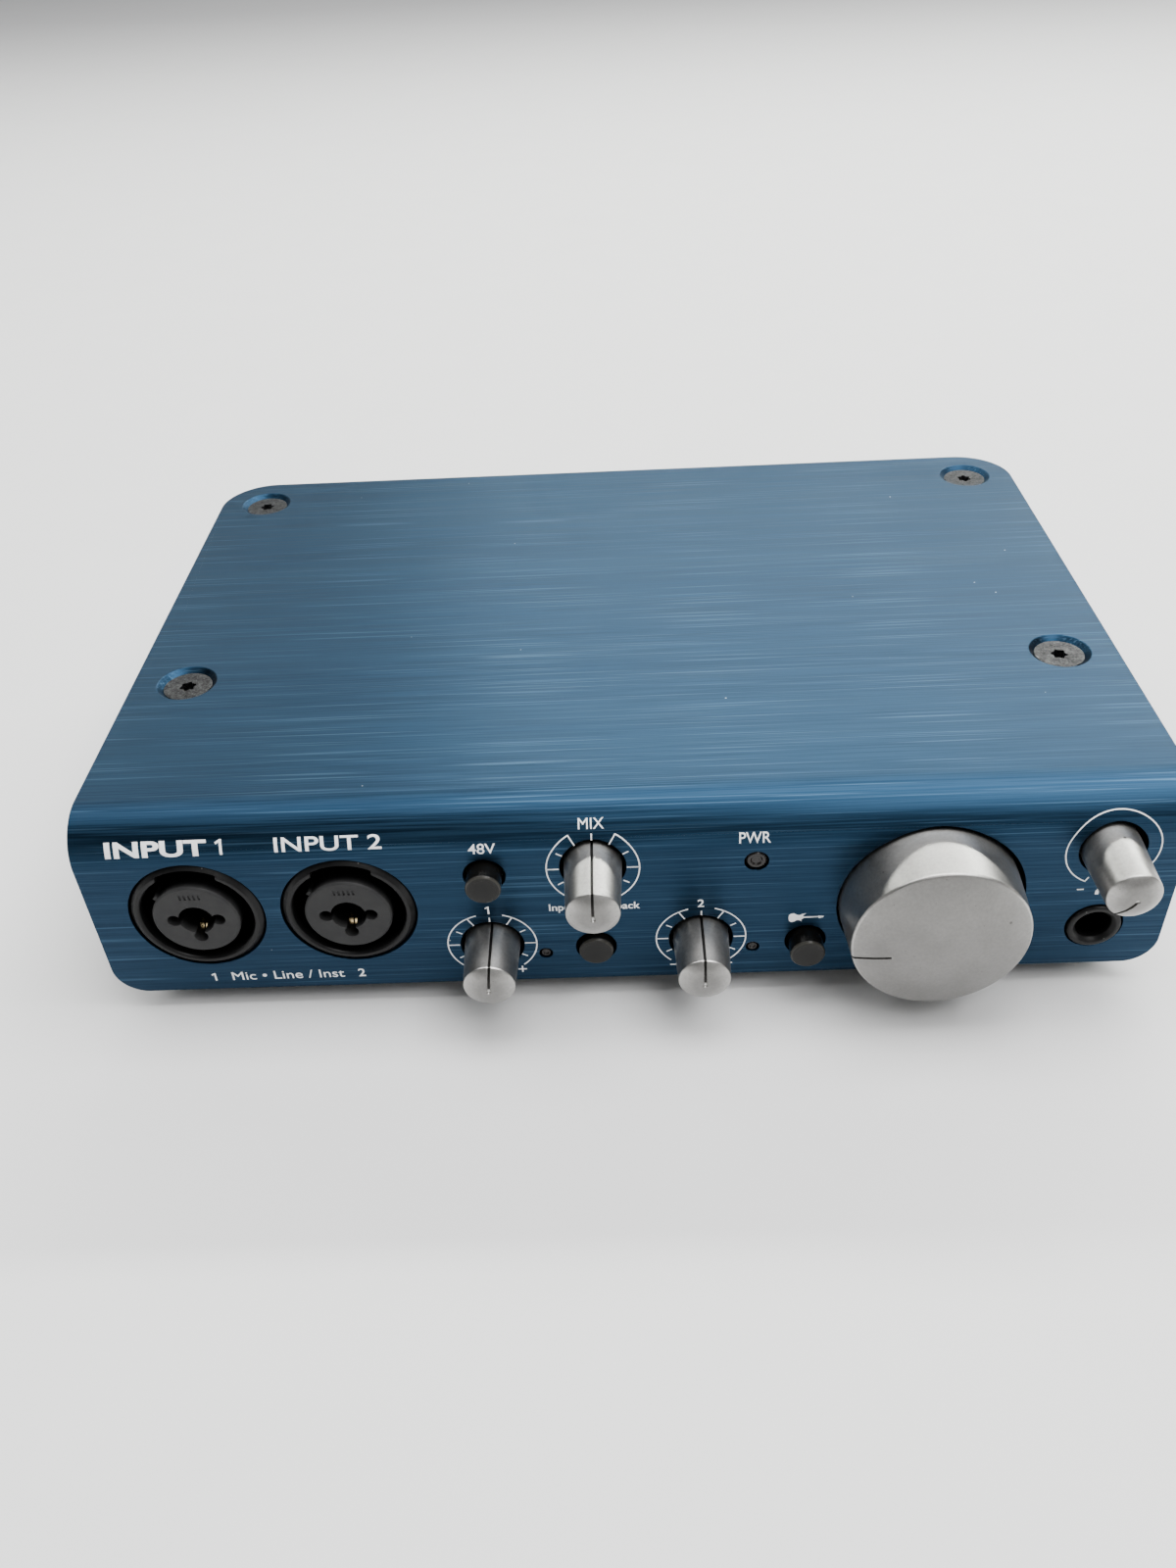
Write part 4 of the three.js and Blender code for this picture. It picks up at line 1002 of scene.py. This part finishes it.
def rear_panel():
    """The steel rear panel, cut out for its sockets."""
    y0, y1 = PANEL_LOW.y - FACE_Y, PANEL_HIGH.y - FACE_Y
    sheet = extruded(rectangle(PANEL_LOW.x, PANEL_LOW.z, PANEL_HIGH.x, PANEL_HIGH.z, 3, 0), "Y", y0, y1)
    tools = []
    rounds = [(4.3, "power_inlet"), (8.2, "midi_in_socket"), (8.2, "midi_out_socket"),
              (5, "output_socket_left"), (5, "output_socket_right"),
              (PANEL_SCREW_HOLE, "rear_screw_left"), (PANEL_SCREW_HOLE, "rear_screw_right")]
    for radius, node in rounds:
        centre = middle(node)
        tools.append(bar(radius, y0 - 1, y1 + 1, centre.x, centre.z, 72))
    for node in ("usb_b_socket", "usb_a_socket"):
        low, high = span(node)
        tools.append(block((low.x - GAP, y0 - 1, low.z - GAP), (high.x + GAP, y1 + 1, high.z + GAP)))
    sheet = softened(cut(sheet, *tools), 0.12, 2)
    piece("rear_panel", sheet, LOOKS["coat"], at=(0, FACE_Y, 0))


def rear_screws():
    """Pan-head screws with a cross recess."""
    for node in ("rear_screw_left", "rear_screw_right"):
        low, high, centre = extent(node)
        head, length = 1.8, 6.5
        profile = rounded([(0, head), (2, head * 0.92), (2.9, head * 0.45), (2.9, 0), (1.3, 0),
                           (1.3, -length), (0, -length)], [0, 0.8, 0.5, 0.1, 0, 0.2, 0], 4)
        blades = [block((-x, 0.6, -z), (x, 3, z)) for x, z in ((1.5, 0.3), (0.3, 1.5))]
        screw = softened(cut(turned(profile, 64), *blades), 0.05, 1)
        piece(node, screw, LOOKS["steel"], at=(centre.x, high.y - head, centre.z))


def feet():
    """Rubber feet: a chamfered tread with a shallow recess."""
    for i in range(1, 5):
        node = f"foot_{i}"
        low, high, centre = extent(node)
        radius, height = 6.5, high.z - low.z
        profile = [(0, 0.5), (4, 0.5), (4.4, 0), (5.9, 0), (radius, 0.8), (radius, height), (0, height)]
        foot = on_end(turned(rounded(profile, [0, 0.3, 0.15, 0.4, 0.5, 0.2, 0], 4), 72), 90)
        piece(node, foot, LOOKS["rubber"], at=(centre.x, centre.y, low.z))


# ---------- rear sockets ----------

def socket_block(node, shape, look):
    """Puts a rear socket, made with y = 0 at its rear face, where its node is."""
    low, high, centre = extent(node)
    piece(node, softened(shape, 0.08, 2), look, at=(centre.x, high.y, centre.z))


def rear_block(node):
    """The block behind the rear panel that holds a socket, and the y of its inner end."""
    low, high, centre = extent(node)
    inner = low.y - high.y
    x, z = low.x - centre.x, low.z - centre.z
    return block((x, inner, z), (-x, PANEL_LOW.y - GAP - high.y, -z)), inner


def power_inlet():
    """A barrel socket with its pin."""
    shell, _inner = rear_block("power_inlet")
    mouth = turned([(0, 1), (3.2, 1), (2.95, -0.2), (2.95, -9), (0, -9)], 64)
    pin = turned([(0, -10), (1, -10), (1, -1.7), (0.7, -1.5), (0, -1.5)], 32)
    shell = cut(unite(shell, bar(4, -4, 0)), mouth)
    socket_block("power_inlet", unite(shell, pin), LOOKS["shell"])


def usb_socket(node, mouth, tongue):
    """A steel shell with a mouth cut in it and a tongue inside."""
    low, high = span(node)
    half, tall = (high.x - low.x) / 2, (high.z - low.z) / 2
    shell = cut(block((-half, low.y - high.y, -tall), (half, 0, tall)), mouth)
    socket_block(node, unite(shell, tongue), LOOKS["steel"])


def midi_socket(node):
    """Five pin openings inside the groove that takes the plug's sleeve."""
    shell, _inner = rear_block(node)
    nose = turned(rounded([(0, 0), (7.9, 0), (7.9, -3), (0, -3)], [0, 0.4, 0, 0], 4), 96)
    sleeve = turned([(6.9, 1), (6.9, -8), (6, -8), (6, -0.5), (0, -0.5), (0, 1)], 96)
    pin, pin_circle, pins = 0.8, 3.75, []
    for degrees in (0, 45, 90, 135, 180):
        angle = math.radians(degrees)
        pins.append(bar(pin, -8, 1, pin_circle * math.cos(angle), -pin_circle * math.sin(angle), 24))
    socket_block(node, cut(unite(shell, nose), sleeve, *pins), LOOKS["shell"])


def output_socket(side):
    """A jack socket, and its nut outside the panel."""
    node, nut = f"output_socket_{side}", f"output_nut_{side}"
    shell, inner = rear_block(node)
    nose = turned(rounded([(0, 0), (4.7, 0), (4.7, -5), (0, -5)], [0, 0.35, 0, 0], 4), 72)
    end = inner + 1.5
    bore = turned([(0, 1), (3.7, 1), (3.7, 0), (JACK_BORE, -0.5), (JACK_BORE, end), (0, end)], 72)
    socket_block(node, cut(unite(shell, nose), bore), LOOKS["shell"])
    corner, height = 6.9, 2
    hexagon = turned([(0, 0), (corner, 0), (corner, height), (0, height)], 6)
    chamfer = turned([(0, -1), (corner, -1), (corner, 1.5), (6.1, height), (0, height)], 72)
    low, high, centre = extent(nut)
    ring_nut = softened(cut(common(hexagon, chamfer), bar(5, -1, 3)), 0.08, 2)
    piece(nut, ring_nut, LOOKS["steel"], at=(centre.x, low.y, centre.z))


def rear_sockets():
    """Power, USB, MIDI and output sockets."""
    power_inlet()
    outline = [(-4.25, -3.9), (4.25, -3.9), (4.25, 2.3), (2.65, 3.9), (-2.65, 3.9), (-4.25, 2.3)]
    usb_socket("usb_b_socket", extruded(outline, "Y", -9, 1), block((-2.8, -10, -1.6), (2.8, -1, 1.6)))
    usb_socket("usb_a_socket", block((-6.25, -10, -2.6), (6.25, 1, 2.6)),
               block((-5.5, -11, 0.2), (5.5, -1, 2)))
    for node in ("midi_in_socket", "midi_out_socket"):
        midi_socket(node)
    for side in ("left", "right"):
        output_socket(side)


# ---------- pieces kept from the CAD ----------

def carried_over():
    """Inner pieces whose CAD shape is right, which get their finish here."""
    looks = {"main_board": "board", "control_board": "board", "board_ribbon": "ribbon"}
    for name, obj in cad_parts.items():
        if obj.hide_render:
            continue
        kind = looks.get(name, "shell" if "switch" in name else "steel")
        obj.data.materials.clear()
        obj.data.materials.append(LOOKS[kind][0])


# ---------- stage ----------

def stage():
    """A plain pale floor."""
    bm = bmesh.new()
    bmesh.ops.create_grid(bm, x_segments=8, y_segments=8, size=3)
    floor = new_object(bm)
    floor.name = "floor"
    s = Shader("pale_floor", (0.7, 0.7, 0.7), roughness=0.7)
    s.link(s.blend(s.noise(40, 3, 0.5), (0.69, 0.69, 0.69), (0.72, 0.72, 0.72)), "Base Color")
    floor.data.materials.append(s.material)


def light(name, place, target, size, power, color=(1, 1, 1)):
    """A rectangular soft light that faces its target."""
    data = bpy.data.lights.new(name, "AREA")
    data.shape = "RECTANGLE"
    data.size, data.size_y = size
    data.energy = power
    data.color = color
    obj = bpy.data.objects.new(name, data)
    obj.location = place
    obj.rotation_euler = (Vector(target) - Vector(place)).to_track_quat("-Z", "Y").to_euler()
    bpy.context.scene.collection.objects.link(obj)


def lighting():
    """A long low lamp behind and broad panels overhead, dimmer to the left, and weaker light in front."""
    light("key", (0.62, 0.85, 0.71), (0.62, 0, 0.04), (1.6, 0.06), 21.5, (0.95, 0.97, 0.92))
    light("key_dim", (-0.7, 0.85, 0.71), (-0.7, 0, 0.04), (1.04, 0.06), 5, (0.95, 0.97, 0.92))
    light("overhead", (0.55, 0.15, 1.6), (0.55, 0.1, 0), (1.5, 0.9), 46)
    light("overhead_dim", (-0.75, 0.15, 1.6), (-0.75, 0.1, 0), (1.1, 0.9), 18)
    light("front", (0.65, -0.5, 1.3), (0.1, 0, 0), (1.2, 0.6), 18)
    light("fill", (0.3, -0.9, 0.75), (0, 0, 0.02), (0.9, 0.6), 1.6, (1, 0.99, 0.97))
    backdrop()


def backdrop():
    """A world that is pale round the horizon and dark above."""
    world = bpy.data.worlds.new("studio")
    world.use_nodes = True
    nodes, links = world.node_tree.nodes, world.node_tree.links
    height = nodes.new("ShaderNodeSeparateXYZ")
    links.new(nodes.new("ShaderNodeTexCoord").outputs["Generated"], height.inputs["Vector"])
    fade = nodes.new("ShaderNodeMapRange")
    fade.interpolation_type = "SMOOTHSTEP"
    for socket, value in (("From Min", 0.14), ("From Max", 0.36)):
        fade.inputs[socket].default_value = value
    links.new(height.outputs["Z"], fade.inputs["Value"])
    sky = nodes.new("ShaderNodeMix")
    sky.data_type = "RGBA"
    links.new(fade.outputs["Result"], sky.inputs[0])
    sky.inputs[6].default_value = (1, 1, 1, 1)
    sky.inputs[7].default_value = (0.11, 0.12, 0.13, 1)
    links.new(sky.outputs[2], nodes["Background"].inputs["Color"])
    nodes["Background"].inputs["Strength"].default_value = 0.5
    bpy.context.scene.world = world


# ---------- assembly ----------

place_camera()
cover()
cover_screws()
printing()
for knob in SMALL_KNOBS:
    small_knob(*knob)
main_knob()
push_buttons()
lamps()
combo_sockets()
phones_socket()
chassis_tray()
rear_panel()
rear_screws()
feet()
rear_sockets()
carried_over()
stage()
lighting()
